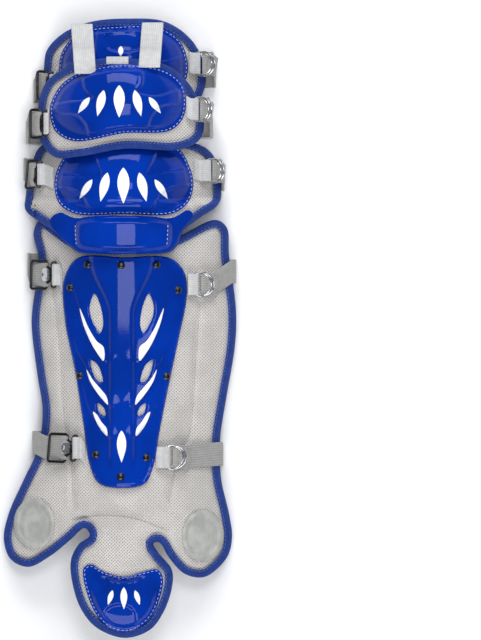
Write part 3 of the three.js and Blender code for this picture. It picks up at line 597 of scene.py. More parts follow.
def strip_uv(path, profile):
    """The cloth's own coordinates in metres: along the strip, and across it."""
    along = run_of(path)
    u = np.repeat(along, len(profile))
    v = np.tile(profile[:, 0], len(path))
    ends = np.array([[along[0], 0], [along[-1], 0]])
    return np.vstack([np.stack([u, v], axis=1), ends])


def tube(path, radius, sides=8, closed=False, first_up=UP):
    """A round wire along a path, its section kept square to the path."""
    way = tangents(path, closed)
    side = unit(np.cross(way, first_up))
    return carried(path, side, np.cross(side, way), circle(radius, sides), closed)


def stitches(line, surface, stitch, gap, width, proud, closed=False):
    """A row of stitches along a flat line: short round-ended dashes that arch out of the surface.
    Each is a six-sided tube of five rings whose height is the sine of the way along it."""
    even = even_steps(line, stitch + gap, closed)
    if not closed:
        even = (even[:-1] + even[1:]) / 2
        way = unit(np.diff(even_steps(line, stitch + gap), axis=0))
    else:
        way = tangents(even, closed=True)
    share = np.array([0, 0.12, 0.5, 0.88, 1.0])
    swell = np.array([0.35, 0.9, 1.0, 0.9, 0.35])
    at = even[:, None, :] + way[:, None, :] * ((share - 0.5) * stitch)[None, :, None]
    flat = at.reshape(-1, 2)
    height = surface(flat[:, 0], flat[:, 1]).reshape(at.shape[:2])
    height = height + proud * np.sin(math.pi * share)[None] - 0.15 * width
    ring = circle(width / 2, 6)
    side = np.stack([way[:, 1], -way[:, 0]], axis=1)
    points = np.zeros(at.shape[:2] + (6, 3))
    reach = ring[None, None, :, :1] * swell[None, :, None, None]
    points[..., :2] = at[:, :, None, :] + side[:, None, None, :] * reach
    points[..., 2] = height[:, :, None] + ring[None, None, :, 1] * swell[None, :, None]
    faces = grid_faces(5, 6, close_columns=True)
    caps = np.array([[5, 4, 3, 2, 1, 0], [24, 25, 26, 27, 28, 29]])
    start = np.arange(len(even))[:, None, None] * 30
    quads = (faces[None] + start).reshape(-1, 4)
    ends = (caps[None] + start).reshape(-1, 6)
    return points.reshape(-1, 3), [quads, ends]


def linear(code):
    """An sRGB hex colour as linear red, green and blue."""
    parts = [int(code[i:i + 2], 16) / 255 for i in (0, 2, 4)]
    return tuple(v / 12.92 if v <= 0.04045 else ((v + 0.055) / 1.055) ** 2.4 for v in parts)


def shade(colour, share):
    """A colour made lighter or darker by a share, with full opacity."""
    return (*(min(1.0, c * share) for c in tuple(colour)[:3]), 1.0)


def add_node(tree, kind, settings=None, values=None, links=None):
    """Adds a node, sets its properties and its inputs' values, and links its inputs."""
    node = tree.nodes.new(kind)
    for name, value in (settings or {}).items():
        setattr(node, name, value)
    for key, value in (values or {}).items():
        node.inputs[key].default_value = value
    for key, output in (links or {}).items():
        tree.links.new(output, node.inputs[key])
    return node


def finish_material(name, shader, **patterns):
    """A material with one Principled shader. Constants go on the shader's own sockets, and each
    pattern is a function that makes its nodes and returns the output to link."""
    material = bpy.data.materials.new(name)
    material.use_nodes = True
    tree = material.node_tree
    tree.nodes.clear()
    principled = add_node(tree, "ShaderNodeBsdfPrincipled", values=shader)
    for key, make in patterns.items():
        tree.links.new(make(tree), principled.inputs[key.replace("_", " ").title()])
    add_node(tree, "ShaderNodeOutputMaterial", links={"Surface": principled.outputs["BSDF"]})
    return material


def cloudy(tree, scale, detail, low, high, to_low=0.0, to_high=1.0):
    """Cloudy noise in the piece's own place, with its middle range stretched over another range."""
    place = add_node(tree, "ShaderNodeTexCoord")
    cloud = add_node(
        tree, "ShaderNodeTexNoise", values={"Scale": scale, "Detail": detail, "Roughness": 0.55},
        links={"Vector": place.outputs["Object"]},
    )
    return add_node(
        tree, "ShaderNodeMapRange", {"interpolation_type": "SMOOTHSTEP"},
        {1: low, 2: high, 3: to_low, 4: to_high}, {0: cloud.outputs["Fac"]},
    ).outputs[0]


def between(tree, share, low, high, dark, light):
    """The dark colour where the share is low and the light one where it is high. Either may be a
    colour or the output of another pattern."""
    eased = add_node(
        tree, "ShaderNodeMapRange", {"interpolation_type": "SMOOTHSTEP"}, {1: low, 2: high},
        {0: share},
    )
    blend = add_node(tree, "ShaderNodeMix", {"data_type": "RGBA"}, links={0: eased.outputs[0]})
    for index, colour in ((6, dark), (7, light)):
        if isinstance(colour, bpy.types.NodeSocket):
            tree.links.new(colour, blend.inputs[index])
        else:
            blend.inputs[index].default_value = colour
    return blend.outputs[2]


def relief(tree, *layers):
    """Bumps of real heights on top of one another. Each layer is a height output, its height in
    metres and its strength."""
    normal = None
    for height, tall, strength in layers:
        links = {"Height": height} if normal is None else {"Height": height, "Normal": normal}
        bump = add_node(
            tree, "ShaderNodeBump", values={"Strength": strength, "Distance": tall}, links=links,
        )
        normal = bump.outputs["Normal"]
    return normal


def ribs(tree, direction, period):
    """Cosine ribs from nothing to one in the cloth's own coordinates, X along it or Y across it."""
    place = add_node(tree, "ShaderNodeTexCoord")
    split = add_node(tree, "ShaderNodeSeparateXYZ", links={"Vector": place.outputs["UV"]})
    turned = add_node(
        tree, "ShaderNodeMath", {"operation": "MULTIPLY"}, {1: 2 * math.pi / period},
        {0: split.outputs[direction]},
    )
    wave = add_node(
        tree, "ShaderNodeMath", {"operation": "COSINE"}, links={0: turned.outputs[0]},
    )
    return add_node(
        tree, "ShaderNodeMath", {"operation": "MULTIPLY_ADD"}, {1: 0.5, 2: 0.5},
        {0: wave.outputs[0]},
    ).outputs[0]


def basket(tree, rib, pick):
    """Ribs along the cloth plus picks across it, from nothing to two."""
    return add_node(
        tree, "ShaderNodeMath", {"operation": "ADD"},
        links={0: ribs(tree, "Y", rib), 1: ribs(tree, "X", pick)},
    ).outputs[0]


def mesh_holes(tree, pitch):
    """Distance from the nearest hole of a knit mesh, in pitches. The holes stand in staggered rows,
    which is a square grid turned by an eighth of a turn."""
    place = add_node(tree, "ShaderNodeTexCoord")
    turned = add_node(
        tree, "ShaderNodeMapping",
        values={"Scale": (1 / pitch,) * 3, "Rotation": (0, 0, math.pi / 4)},
        links={"Vector": place.outputs["Object"]},
    )
    return add_node(
        tree, "ShaderNodeTexVoronoi", {"voronoi_dimensions": "2D"},
        {"Scale": 1.0, "Randomness": 0.12}, {"Vector": turned.outputs["Vector"]},
    ).outputs["Distance"]


def knit_spacer_mesh(colour, pitch):
    """Polyester spacer mesh, knitted with open holes over foam. It gives a matt, warm grey cloth
    with rows of small soft shadows. The real holes are about 2 mm apart; they are drawn at the given
    pitch, coarser, so that they show."""
    def base(tree):
        yarn = between(tree, cloudy(tree, 24, 3, 0, 1), 0.3, 0.7,
                       shade(colour, 0.9), shade(colour, 1.06))
        return between(tree, mesh_holes(tree, pitch), 0.16, 0.42, shade(colour, 0.48), yarn)

    def normal(tree):
        return relief(tree, (cloudy(tree, 2600, 2, 0, 1), 0.15 * MM, 0.5),
                      (mesh_holes(tree, pitch), 1.2 * MM, 0.8))

    shader = {"Roughness": 0.92, "Sheen Weight": 0.25, "Sheen Roughness": 0.5,
              "Specular IOR Level": 0.25}
    return finish_material("knit_spacer_mesh", shader, base_color=base, normal=normal)


def knit_edge_tape(colour):
    """Polyester binding tape, knitted with fine ribs across its length. It gives the guard its matt
    royal blue edge, a little paler where it is rubbed."""
    def base(tree):
        tone = between(tree, cloudy(tree, 130, 4, 0, 1), 0.35, 0.75,
                       shade(colour, 0.85), shade(colour, 1.3))
        # The valleys between the ribs are darkened to 0.62 of the tape's colour: painted shade in the
        # grooves.
        return between(tree, ribs(tree, "X", 1.3 * MM), 0, 0.6, shade(colour, 0.62), tone)

    def normal(tree):
        return relief(tree, (cloudy(tree, 2200, 2, 0, 1), 0.2 * MM, 0.5),
                      (ribs(tree, "X", 1.3 * MM), 0.3 * MM, 0.7))

    shader = {"Roughness": 0.8, "Sheen Weight": 0.4, "Sheen Roughness": 0.45,
              "Sheen Tint": shade(colour, 2.2), "Specular IOR Level": 0.3}
    return finish_material("knit_edge_tape", shader, base_color=base, normal=normal)


def moulded_gloss_polyurethane(colour):
    """Pressure-moulded polyurethane with a high gloss. It gives deep royal blue with clear, slightly
    uneven reflections and faint dulling where it has been rubbed."""
    def base(tree):
        return between(tree, cloudy(tree, 14, 2, 0, 1), 0.3, 0.7,
                       shade(colour, 0.86), shade(colour, 1.12))

    def dulling(tree):
        return cloudy(tree, 90, 5, 0.45, 0.85, 0.04, 0.13)

    def normal(tree):
        return relief(tree, (cloudy(tree, 260, 2, 0, 1), 0.05 * MM, 0.35))

    shader = {"IOR": 1.48, "Coat Weight": 0.1, "Coat Roughness": 0.04, "Specular IOR Level": 0.1}
    return finish_material("moulded_gloss_polyurethane", shader, base_color=base, roughness=dulling,
                           normal=normal)


def woven_strap(name, colour, rib, pick, gap_painted_shade):
    """Polyester strap, woven with warp ribs along it and picks across it. It gives a pale matt
    surface with a fine basket grain, drawn a little coarse so that it shows."""
    def base(tree):
        yarn = between(tree, cloudy(tree, 160, 3, 0, 1), 0.3, 0.7,
                       shade(colour, 0.92), shade(colour, 1.04))
        # The gaps between ribs and picks are darkened by this share of the strap's colour: painted
        # shade in the recesses.
        return between(tree, basket(tree, rib, pick), 0.1, 1.1, shade(colour, gap_painted_shade), yarn)

    def normal(tree):
        return relief(tree, (cloudy(tree, 3000, 2, 0, 1), 0.1 * MM, 0.4),
                      (basket(tree, rib, pick), 0.2 * MM, 0.7))

    shader = {"Roughness": 0.82, "Sheen Weight": 0.2, "Specular IOR Level": 0.3}
    return finish_material(name, shader, base_color=base, normal=normal)


def black_coated_steel(colour):
    """Steel with a black baked coat. It gives dark hooks and rivets with small clear highlights and
    slightly rubbed high spots."""
    def base(tree):
        return between(tree, cloudy(tree, 420, 4, 0, 1), 0.55, 0.8,
                       shade(colour, 1), shade(colour, 3.2))

    def dulling(tree):
        return cloudy(tree, 700, 3, 0.3, 0.8, 0.18, 0.4)

    shader = {"Metallic": 0.35, "Coat Weight": 0.5, "Coat Roughness": 0.12}
    return finish_material("black_coated_steel", shader, base_color=base, roughness=dulling)


def nickel_plated_wire(colour):
    """Nickel-plated steel wire, drawn and welded. It gives bright grey rings with soft streaks."""
    def base(tree):
        return between(tree, cloudy(tree, 500, 4, 0, 1), 0.4, 0.8,
                       shade(colour, 1), shade(colour, 0.62))

    def dulling(tree):
        return cloudy(tree, 900, 3, 0.3, 0.8, 0.14, 0.34)

    return finish_material("nickel_plated_wire", {"Metallic": 1.0}, base_color=base, roughness=dulling)


def moulded_rubber(colour):
    """Soft moulded rubber with a fine blasted grain. It gives the ankle discs a dull, slightly dusty
    grey."""
    def base(tree):
        return between(tree, cloudy(tree, 60, 4, 0, 1), 0.3, 0.75,
                       shade(colour, 0.85), shade(colour, 1.1))

    def normal(tree):
        return relief(tree, (cloudy(tree, 1500, 2, 0, 1), 0.12 * MM, 0.5))

    shader = {"Roughness": 0.55, "Specular IOR Level": 0.4}
    return finish_material("moulded_rubber", shader, base_color=base, normal=normal)


def gloss_print(colour):
    """White screen ink under a clear coat. It gives flat white blades with gloss."""
    def base(tree):
        return between(tree, cloudy(tree, 300, 3, 0, 1), 0.3, 0.7,
                       shade(colour, 0.95), shade(colour, 1))

    shader = {"Roughness": 0.3, "Coat Weight": 0.4, "Coat Roughness": 0.08}
    return finish_material("gloss_print", shader, base_color=base)


def sewing_thread(name, colour):
    """Twisted polyester thread. It gives short dashes with a little sheen."""
    def base(tree):
        return between(tree, cloudy(tree, 1800, 2, 0, 1), 0.3, 0.7,
                       shade(colour, 0.75), shade(colour, 1.1))

    shader = {"Roughness": 0.6, "Sheen Weight": 0.3}
    return finish_material(name, shader, base_color=base)


def studio_paper(colour):
    """Matt white background paper. It gives an even pale floor with soft shadows."""
    def base(tree):
        return between(tree, cloudy(tree, 40, 4, 0, 1), 0.3, 0.7, shade(colour, 0.99), shade(colour, 1))

    shader = {"Roughness": 0.9, "Specular IOR Level": 0.1}
    return finish_material("studio_paper", shader, base_color=base)

# Sewn channels of the shin pad, as shares across and along.
SHIN_CHANNELS = [
    [(-0.577, 0.57), (-0.56, 0.546), (-0.509, 0.464), (-0.484, 0.384), (-0.458, 0.335),
     (-0.407, 0.27), (-0.399, 0.214)],
    [(0.679, 0.545), (0.637, 0.432), (0.594, 0.335), (0.467, 0.27), (0.424, 0.222)],
    [(-0.399, 0.191), (-0.17, 0.198), (0.127, 0.193), (0.407, 0.173)],
]
CHANNELS = {"shin": SHIN_CHANNELS, "knee": [], "upper": [], "thigh": []}

PAD_STEP = 2.8 * MM
TAPE_STEP = 2.2 * MM
CAP_STEP = 1.7 * MM
PLATE_STEP = 1.6 * MM


def tape_lines(key):
    """The tape's outer and inner edges around a pad."""
    outer = outline(OUTLINES[key], TAPE_STEP)
    return outer, moved_in(outer, BINDING_WIDTH)


def pad_form(key, points):
    """A pad's finished top: its height, less a dip along the tape and along each sewn channel, and
    with slow waves of the foam."""
    _, inner = tape_lines(key)
    x, y = points[:, 0], points[:, 1]
    off_tape = depth(points, inner)
    height = pad_top(key, x, y) - 3 * MM * (1 - ease(off_tape, -3 * MM, 9 * MM))
    for rows in CHANNELS[key]:
        off_seam = distance(points, line_of(rows, 3 * MM))
        height = height - 3.4 * MM * hill(off_seam, 3 * MM) - 1.4 * MM * hill(off_seam, 10 * MM)
    foam = np.sin(x / (17 * MM) + 2 * np.sin(y / (41 * MM))) * np.sin(y / (23 * MM) + x / (50 * MM))
    return height + 0.25 * MM * foam * ease(off_tape, 4 * MM, 14 * MM)


PUFF_PRESSURE = 4.0
PUFF_FRAMES = 20
PUFF_CLOTH_MASS = 0.15
PUFF_QUALITY = 4
MOST_PUFF = 2.2 * MM


def puffed(piece, loose):
    """Cloth simulation of a filled pad: the loose points of its top move under pressure while the
    rest is held. At this pressure the effect is slight: they move 0.04 to 0.16 mm on average and
    0.9 mm at most, so the most puff is only a safeguard and isn't reached."""
    held = piece.vertex_groups.new(name="held")
    for share in (0.0, 0.25, 0.5, 0.75, 1.0):
        members = np.flatnonzero(np.round(loose * 4) / 4 == share)
        held.add(members.tolist(), 1 - share, "REPLACE")
    cloth = piece.modifiers.new("padding", "CLOTH")
    cloth.settings.vertex_group_mass = "held"
    cloth.settings.use_pressure = True
    cloth.settings.uniform_pressure_force = PUFF_PRESSURE
    cloth.settings.effector_weights.gravity = 0
    cloth.settings.mass = PUFF_CLOTH_MASS
    cloth.settings.quality = PUFF_QUALITY
    cloth.collision_settings.use_collision = False
    cloth.collision_settings.use_self_collision = False
    cloth.point_cache.frame_start = 1
    cloth.point_cache.frame_end = PUFF_FRAMES
    scene = bpy.context.scene
    for number in range(1, PUFF_FRAMES + 1):
        scene.frame_set(number)
    swollen = piece.evaluated_get(bpy.context.evaluated_depsgraph_get()).to_mesh()
    count = len(piece.data.vertices)
    after = np.zeros(count * 3, np.float32)
    before = np.zeros(count * 3, np.float32)
    swollen.vertices.foreach_get("co", after)
    piece.data.vertices.foreach_get("co", before)
    piece.to_mesh_clear()
    piece.modifiers.remove(cloth)
    scene.frame_set(1)
    moved = (after - before).reshape(-1, 3)
    reach = np.linalg.norm(moved, axis=1, keepdims=True)
    moved *= np.minimum(1, MOST_PUFF / np.maximum(reach, 1e-9)) * np.minimum(loose, 1)[:, None]
    piece.data.vertices.foreach_set("co", (before.reshape(-1, 3) + moved).ravel())
    piece.data.update()
    piece.vertex_groups.remove(held)


def add_pad(name, key, material):
    """One padded cushion: a closed form between its finished top and its underside. Its padded look
    comes from the top's formula. A cloth simulation, held at its edge, its seams and its underside,
    then eases it very slightly."""
    outer, _ = tape_lines(key)
    rim = even_steps(moved_in(outer, BINDING_WIDTH - 3 * MM), PAD_STEP, closed=True)
    seams = [line_of(rows, PAD_STEP) for rows in CHANNELS[key]]
    flat, triangles = filled(rim, PAD_STEP, lines=seams)
    over = pad_form(key, flat)
    under = UNDERSIDES[key](flat[:, 0], flat[:, 1])
    edge = ease(depth(flat, rim), 0, 8 * MM)
    under = under + (1 - edge) * 1.5 * MM
    points, faces = slab(flat, triangles, under, np.maximum(over, under + MM))
    piece = add_piece(f"{name}_cushion", points, faces, material, (f"{name}_pad",))
    off_seam = depth(flat, rim)
    for seam in seams:
        off_seam = np.minimum(off_seam, distance(flat, seam))
    loose = ease(off_seam, 2 * MM, 9 * MM)
    puffed(piece, np.concatenate([loose, np.zeros(len(flat))]))
    return piece


def add_seam_stitches(name, key, material):
    """Stitches at the bottom of each sewn channel."""
    parts = []

    def surface(x, y):
        return pad_form(key, np.stack([x, y], axis=1))

    for rows in CHANNELS[key]:
        line = line_of(rows, 3 * MM)[2:-2]
        parts.append(stitches(line, surface, 2.6 * MM, 1.6 * MM, 0.8 * MM, 0.4 * MM))
    points, faces = put_together(*parts)
    return add_piece(f"{name}_seam_stitches", points, faces, material)


def add_tape(name, key, material):
    """The knit tape that wraps a pad's edge. Its section runs from the inner edge on top, round the
    outside, to the inner edge below: the way out is the sine, and the height the cosine, of an angle
    from nothing to half a turn, both with powers that make it full."""
    outer, inner = tape_lines(key)
    angle = np.linspace(0, math.pi, 15)
    out = np.sin(angle) ** 0.75
    up = 0.5 + 0.5 * np.sign(np.cos(angle)) * np.abs(np.cos(angle)) ** 0.6
    flat = inner[:, None, :] + (outer - inner)[:, None, :] * out[None, :, None]
    x, y = flat[..., 0], flat[..., 1]
    high = pad_top(key, x, y) + BINDING_PROUD
    low = UNDERSIDES[key](x, y) - BINDING_PROUD
    points = np.concatenate([flat, (low + (high - low) * up)[..., None]], axis=2)
    across = np.concatenate([[0], np.cumsum(np.linalg.norm(np.diff(points[0], axis=0), axis=1))])
    along = np.concatenate([[0], np.cumsum(np.linalg.norm(np.diff(outer, axis=0), axis=1))])
    uv = np.stack(np.broadcast_arrays(along[:, None], across[None, :]), axis=2).reshape(-1, 2)
    faces = [grid_faces(len(outer), len(angle), close_rows=True, close_columns=True)]
    return add_piece(f"{name}_edge_tape", points.reshape(-1, 3), faces, material,
                     (f"{name}_binding",), uv=uv)


def add_tape_stitches(name, key, material):
    """The row of stitches that holds the tape, just outside its inner edge."""
    outer, inner = tape_lines(key)
    line = inner + (outer - inner) * 0.16

    def surface(x, y):
        return pad_top(key, x, y) + BINDING_PROUD - 0.1 * MM

    points, faces = stitches(line, surface, 3 * MM, 1.6 * MM, 0.7 * MM, 0.3 * MM, closed=True)
    return add_piece(f"{name}_tape_stitches", points, faces, material)


# The caps: outline, the pad it lies on, and its dome.
CAPS = {
    "knee_cap": ("knee", CAP_DOME),
    "upper_cap": ("upper", CAP_DOME),
    "thigh_cap": ("thigh", CAP_DOME),
    "toe_cap": ("shin", TOE_CAP_DOME),
}
CAP_NODES = {"knee_cap": "knee_cap", "upper_cap": "upper_knee_cap", "thigh_cap": "thigh_cap",
             "toe_cap": "toe_cap"}

# Pockets sunk into the caps' corners between raised ribs, as shares across and along. They run out
# past the cap's rim, where its flange stays level.
POCKETS = {
    "knee_cap": [
        [(-0.66, 0.75), (-0.5, 0.747), (-0.3, 0.743), (-0.16, 0.7405), (-0.144, 0.744),
         (-0.172, 0.7635), (-0.22, 0.79), (-0.25, 0.83), (-0.66, 0.83)],
        [(0.33, 0.83), (0.302, 0.781), (0.235, 0.752), (0.221, 0.746), (0.4, 0.751),
         (0.56, 0.756), (0.68, 0.76), (0.68, 0.83)],
        [(-0.66, 0.727), (-0.5, 0.7265), (-0.39, 0.723), (-0.31, 0.712), (-0.267, 0.699),
         (-0.255, 0.66), (-0.66, 0.66)],
        [(0.72, 0.735), (0.586, 0.731), (0.45, 0.727), (0.36, 0.717), (0.29, 0.7),
         (0.263, 0.689), (0.25, 0.66), (0.72, 0.66)],
    ],
    "upper_cap": [
        [(-0.65, 0.8645), (-0.39, 0.8645), (-0.25, 0.867), (-0.215, 0.8715), (-0.28, 0.882),
         (-0.302, 0.895), (-0.306, 0.95), (-0.65, 0.95)],
        [(0.204, 0.95), (0.2, 0.9), (0.19, 0.889), (0.15, 0.88), (0.19, 0.875), (0.331, 0.873),
         (0.505, 0.884), (0.62, 0.89), (0.62, 0.95)],
        [(-0.66, 0.848), (-0.497, 0.846), (-0.36, 0.843), (-0.3, 0.833), (-0.267, 0.82),
         (-0.26, 0.78), (-0.66, 0.78)],
        [(0.62, 0.863), (0.505, 0.862), (0.36, 0.858), (0.29, 0.846), (0.246, 0.828),
         (0.235, 0.79), (0.62, 0.79)],
    ],
    "thigh_cap": [
        [(-0.6, 0.93), (-0.3, 0.93), (-0.22, 0.935), (-0.2, 0.955), (-0.21, 1.0), (-0.6, 1.0)],
        [(0.26, 1.0), (0.25, 0.955), (0.27, 0.938), (0.36, 0.93), (0.52, 0.938), (0.64, 0.94),
         (0.64, 1.0)],
        [(-0.12, 0.973), (0.2, 0.973), (0.18, 0.95), (-0.1, 0.95)],
    ],
    "toe_cap": [
        [(-0.36, 0.125), (-0.2, 0.112), (-0.12, 0.1), (-0.09, 0.085), (-0.16, 0.07),
         (-0.26, 0.06), (-0.4, 0.06)],
        [(0.42, 0.118), (0.27, 0.108), (0.18, 0.098), (0.16, 0.085), (0.22, 0.07), (0.31, 0.06),
         (0.42, 0.06)],
        [(-0.12, 0.045), (0.0, 0.055), (0.12, 0.045), (0.1, 0.0), (-0.1, 0.0)],
    ],
}
POCKET_DEPTH = {"knee_cap": 4 * MM, "upper_cap": 3.4 * MM, "thigh_cap": 2.6 * MM,
                "toe_cap": 2 * MM}
FLANGE_WIDTH = 3.6 * MM
FLANGE_WALL = 1.5 * MM


def cap_form(name, points):
    """A cap's top: a flat sewn flange, a rounded shoulder up to the dome, and sunken pockets."""
    key, dome = CAPS[name]
    x, y = points[:, 0], points[:, 1]
    rim = outline(OUTLINES[name], 3 * MM)
    inwards = depth(points, rim)

    def skin(px, py):
        return pad_skin(key, px, py)

    rise = dome * np.maximum(0, 1 - cap_reach(name, x, y) ** DOME_POWER)
    shoulder = ease(inwards, FLANGE_WIDTH, FLANGE_WIDTH + 5 * MM) ** 0.7
    wall = FLANGE_WALL + (CAP_RIM - FLANGE_WALL + rise) * shoulder
    height = skin(x, y) + LAYER_GAP + wall * steepness(skin, x, y)
    for rows in POCKETS[name]:
        pocket = outline(rows, 2.5 * MM)
        sunk = ease(depth(points, pocket), -0.5 * MM, 1.9 * MM)
        rib = hill(depth(points, pocket) + 2 * MM, 1.3 * MM)
        height = height + (0.5 * MM * rib - POCKET_DEPTH[name] * sunk) * shoulder
    return height


def marked_by(flat, triangles, loops):
    """The triangles whose middles lie inside any of the loops."""
    middles = flat[triangles].mean(axis=1)
    return np.any([inside(middles, loop) for loop in loops], axis=0)


def add_cap(name, material, ink):
    """One moulded cap: a closed form from the pad's skin to the cap's own top, with printed
    lozenges."""
    key, _ = CAPS[name]
    rim = outline(OUTLINES[name], CAP_STEP)
    blades = [blade_outline(*row) for row in CAP_BLADES[name]]
    flat, triangles = filled(rim, CAP_STEP, lines=[np.vstack([loop, loop[:1]]) for loop in blades])
    over = cap_form(name, flat)
    under = pad_skin(key, flat[:, 0], flat[:, 1]) + LAYER_GAP - 0.4 * MM
    edge = ease(depth(flat, rim), -0.1 * MM, 1.2 * MM)
    over = under + (over - under) * (0.55 + 0.45 * edge)
    points, faces = slab(flat, triangles, under, over)
    return add_piece(f"{CAP_NODES[name]}_moulding", points, faces, material, (CAP_NODES[name],),
                     sharp=38, printed=(ink, marked_by(flat, triangles, blades)))


def add_cap_stitches(name, material):
    """The stitches that sew a cap's flange down."""
    rim = outline(OUTLINES[name], 2 * MM)
    line = moved_in(rim, FLANGE_WIDTH * 0.55)

    def surface(x, y):
        return cap_form(name, np.stack([x, y], axis=1))

    points, faces = stitches(line, surface, 2.8 * MM, 2.2 * MM, 0.75 * MM, 0.35 * MM, closed=True)
    return add_piece(f"{CAP_NODES[name]}_stitches", points, faces, material)


# White lozenges on the caps: where each starts and ends, and its greatest width in millimetres.
CAP_BLADES = {
    "knee_cap": [((0.034, 0.758), (0.034, 0.7), 14), ((-0.1, 0.75), (-0.16, 0.703), 11),
                 ((0.168, 0.75), (0.228, 0.703), 11), ((-0.23, 0.739), (-0.34, 0.708), 8),
                 ((0.298, 0.739), (0.408, 0.708), 8)],
    "upper_cap": [((0.0, 0.89), (0.0, 0.838), 13), ((-0.13, 0.882), (-0.185, 0.84), 10),
                  ((0.13, 0.882), (0.185, 0.84), 10), ((-0.25, 0.871), (-0.35, 0.845), 7.5),
                  ((0.25, 0.871), (0.35, 0.845), 7.5)],
    "thigh_cap": [((0.01, 0.954), (0.01, 0.937), 6)],
    "toe_cap": [((0.035, 0.082), (0.035, 0.046), 8), ((-0.06, 0.077), (-0.1, 0.053), 6),
                ((0.13, 0.077), (0.17, 0.053), 6)],
}


def blade_outline(start, end, width, bow=0.0, step=1.2 * MM):
    """A tapered blade between two points: its half width is the sine of the share of the way, to a
    power that puts the widest place near the end, and its middle line bows to one side."""
    a, b = placed([start])[0], placed([end])[0]
    way = b - a
    side = np.array([-way[1], way[0]]) / np.linalg.norm(way)
    share = np.linspace(0, 1, 24)
    half = width * MM / 2 * np.sin(math.pi * share ** 0.8)
    middle = a + way * share[:, None] + side * (bow * np.sin(math.pi * share))[:, None]
    loop = np.vstack([middle + side * half[:, None], (middle - side * half[:, None])[-2:0:-1]])
    return turned_left(even_steps(loop, step, closed=True))


# The hard plate.
PLATE_WALL = 3.5 * MM
SPINE_HEIGHT = 5.5 * MM
SPINE_HALF_WIDTH = 15 * MM

# Vents on the left of the spine, mirrored on the right: outlines as shares.
VENTS = [
    [(-0.212, 0.555), (-0.25, 0.54), (-0.255, 0.526), (-0.23, 0.51), (-0.165, 0.492),
     (-0.14, 0.505), (-0.145, 0.52), (-0.17, 0.54)],
    [(-0.246, 0.448), (-0.235, 0.432), (-0.19, 0.415), (-0.145, 0.413), (-0.153, 0.426),
     (-0.195, 0.443)],
    [(-0.187, 0.379), (-0.17, 0.362), (-0.12, 0.359), (-0.135, 0.372)],
]
# The outer edge of each raised blade beside a vent, from its tip at the outside to the spine.
BLADE_EDGES = [
    [(-0.433, 0.592), (-0.39, 0.565), (-0.339, 0.533), (-0.315, 0.51), (-0.255, 0.482),
     (-0.195, 0.461), (-0.136, 0.447)],
    [(-0.42, 0.5), (-0.36, 0.465), (-0.28, 0.437), (-0.255, 0.415), (-0.195, 0.397),
     (-0.127, 0.382), (-0.093, 0.375)],
    [(-0.35, 0.43), (-0.3, 0.4), (-0.26, 0.372), (-0.2, 0.35), (-0.14, 0.335), (-0.1, 0.325)],
]
# White blades on the plate, left of the spine: outlines as shares.
PLATE_BLADES = [
    [(-0.339, 0.532), (-0.315, 0.51), (-0.255, 0.481), (-0.195, 0.461), (-0.136, 0.447),
     (-0.136, 0.469), (-0.195, 0.479), (-0.263, 0.5), (-0.314, 0.522)],
    [(-0.28, 0.433), (-0.255, 0.416), (-0.195, 0.397), (-0.127, 0.381), (-0.099, 0.376),
     (-0.11, 0.389), (-0.161, 0.402), (-0.229, 0.417)],
    [(-0.225, 0.365), (-0.2, 0.35), (-0.15, 0.334), (-0.105, 0.326), (-0.11, 0.338),
     (-0.155, 0.349), (-0.195, 0.361)],
]


def mirrored(rows):
    """The rows of shares on the other side of the plate's spine."""
    return [(2 * SPINE_ACROSS - across, along) for across, along in rows]


def both_sides(table):
    """A table's rows and their mirror images across the spine."""
    return [rows for side in table for rows in (side, mirrored(side))]


def plate_prints(step):
    """The plate's printed shapes: the blades beside the vents and a lozenge at the foot."""
    foot = blade_outline((SPINE_ACROSS, 0.335), (SPINE_ACROSS, 0.283), 11)
    return [outline(rows, step) for rows in both_sides(PLATE_BLADES)] + [foot]


def plate_form(points):
    """The plate's top: its wall, a raised spine that widens towards the knee, a swell that rises to
    the outer edge of each blade and drops off sharply beyond it, and bevels around the vents."""
    x, y = points[:, 0], points[:, 1]

    def skin(px, py):
        return pad_skin("shin", px, py)

    height = skin(x, y) + LAYER_GAP + PLATE_WALL * steepness(skin, x, y)
    along = (y - TOE_Y) / LENGTH
    half = SPINE_HALF_WIDTH + 22 * MM * ease(along, 0.52, 0.61)
    off = np.abs(x - SPINE_ACROSS * WIDTH / 2 - MIDDLE_X)
    spine = SPINE_HEIGHT * (1 - ease(off, half - 5 * MM, half + 2.5 * MM))
    height = height + spine * ease(along, 0.255, 0.3)
    for rows in both_sides(BLADE_EDGES):
        line = line_of(rows, 2 * MM)
        away = distance(points, line)
        ends = placed(rows)
        share = np.clip((ends[0, 1] - y) / (ends[0, 1] - ends[-1, 1]), 0, 1)
        over = np.interp(y, line[::-1, 1], line[::-1, 0])
        middle = SPINE_ACROSS * WIDTH / 2 + MIDDLE_X
        within = np.sign(over - middle) * (x - over) < 0
        low, high = ends[-1, 1], ends[0, 1]
        along_edge = ease(y, low - 4 * MM, low + 2 * MM) * (1 - ease(y, high - 12 * MM, high))
        lift = np.where(within, hill(away, 9 * MM), 1 - ease(away, 0, 1.4 * MM))
        height = height + 2.8 * MM * share ** 0.5 * lift * along_edge
    rim = outline(OUTLINES["plate"], 3 * MM)
    inwards = depth(points, rim)
    height = height + 0.9 * MM * hill(inwards - 2 * MM, 1.5 * MM)
    height = height - 1.6 * MM * (1 - ease(inwards, -0.2 * MM, 1.3 * MM))
    for rows in both_sides(VENTS):
        hole = outline(rows, 2 * MM)
        beside = -depth(points, hole)
        height = height - 1.8 * MM * (1 - ease(beside, -0.1 * MM, 2.2 * MM))
    return height


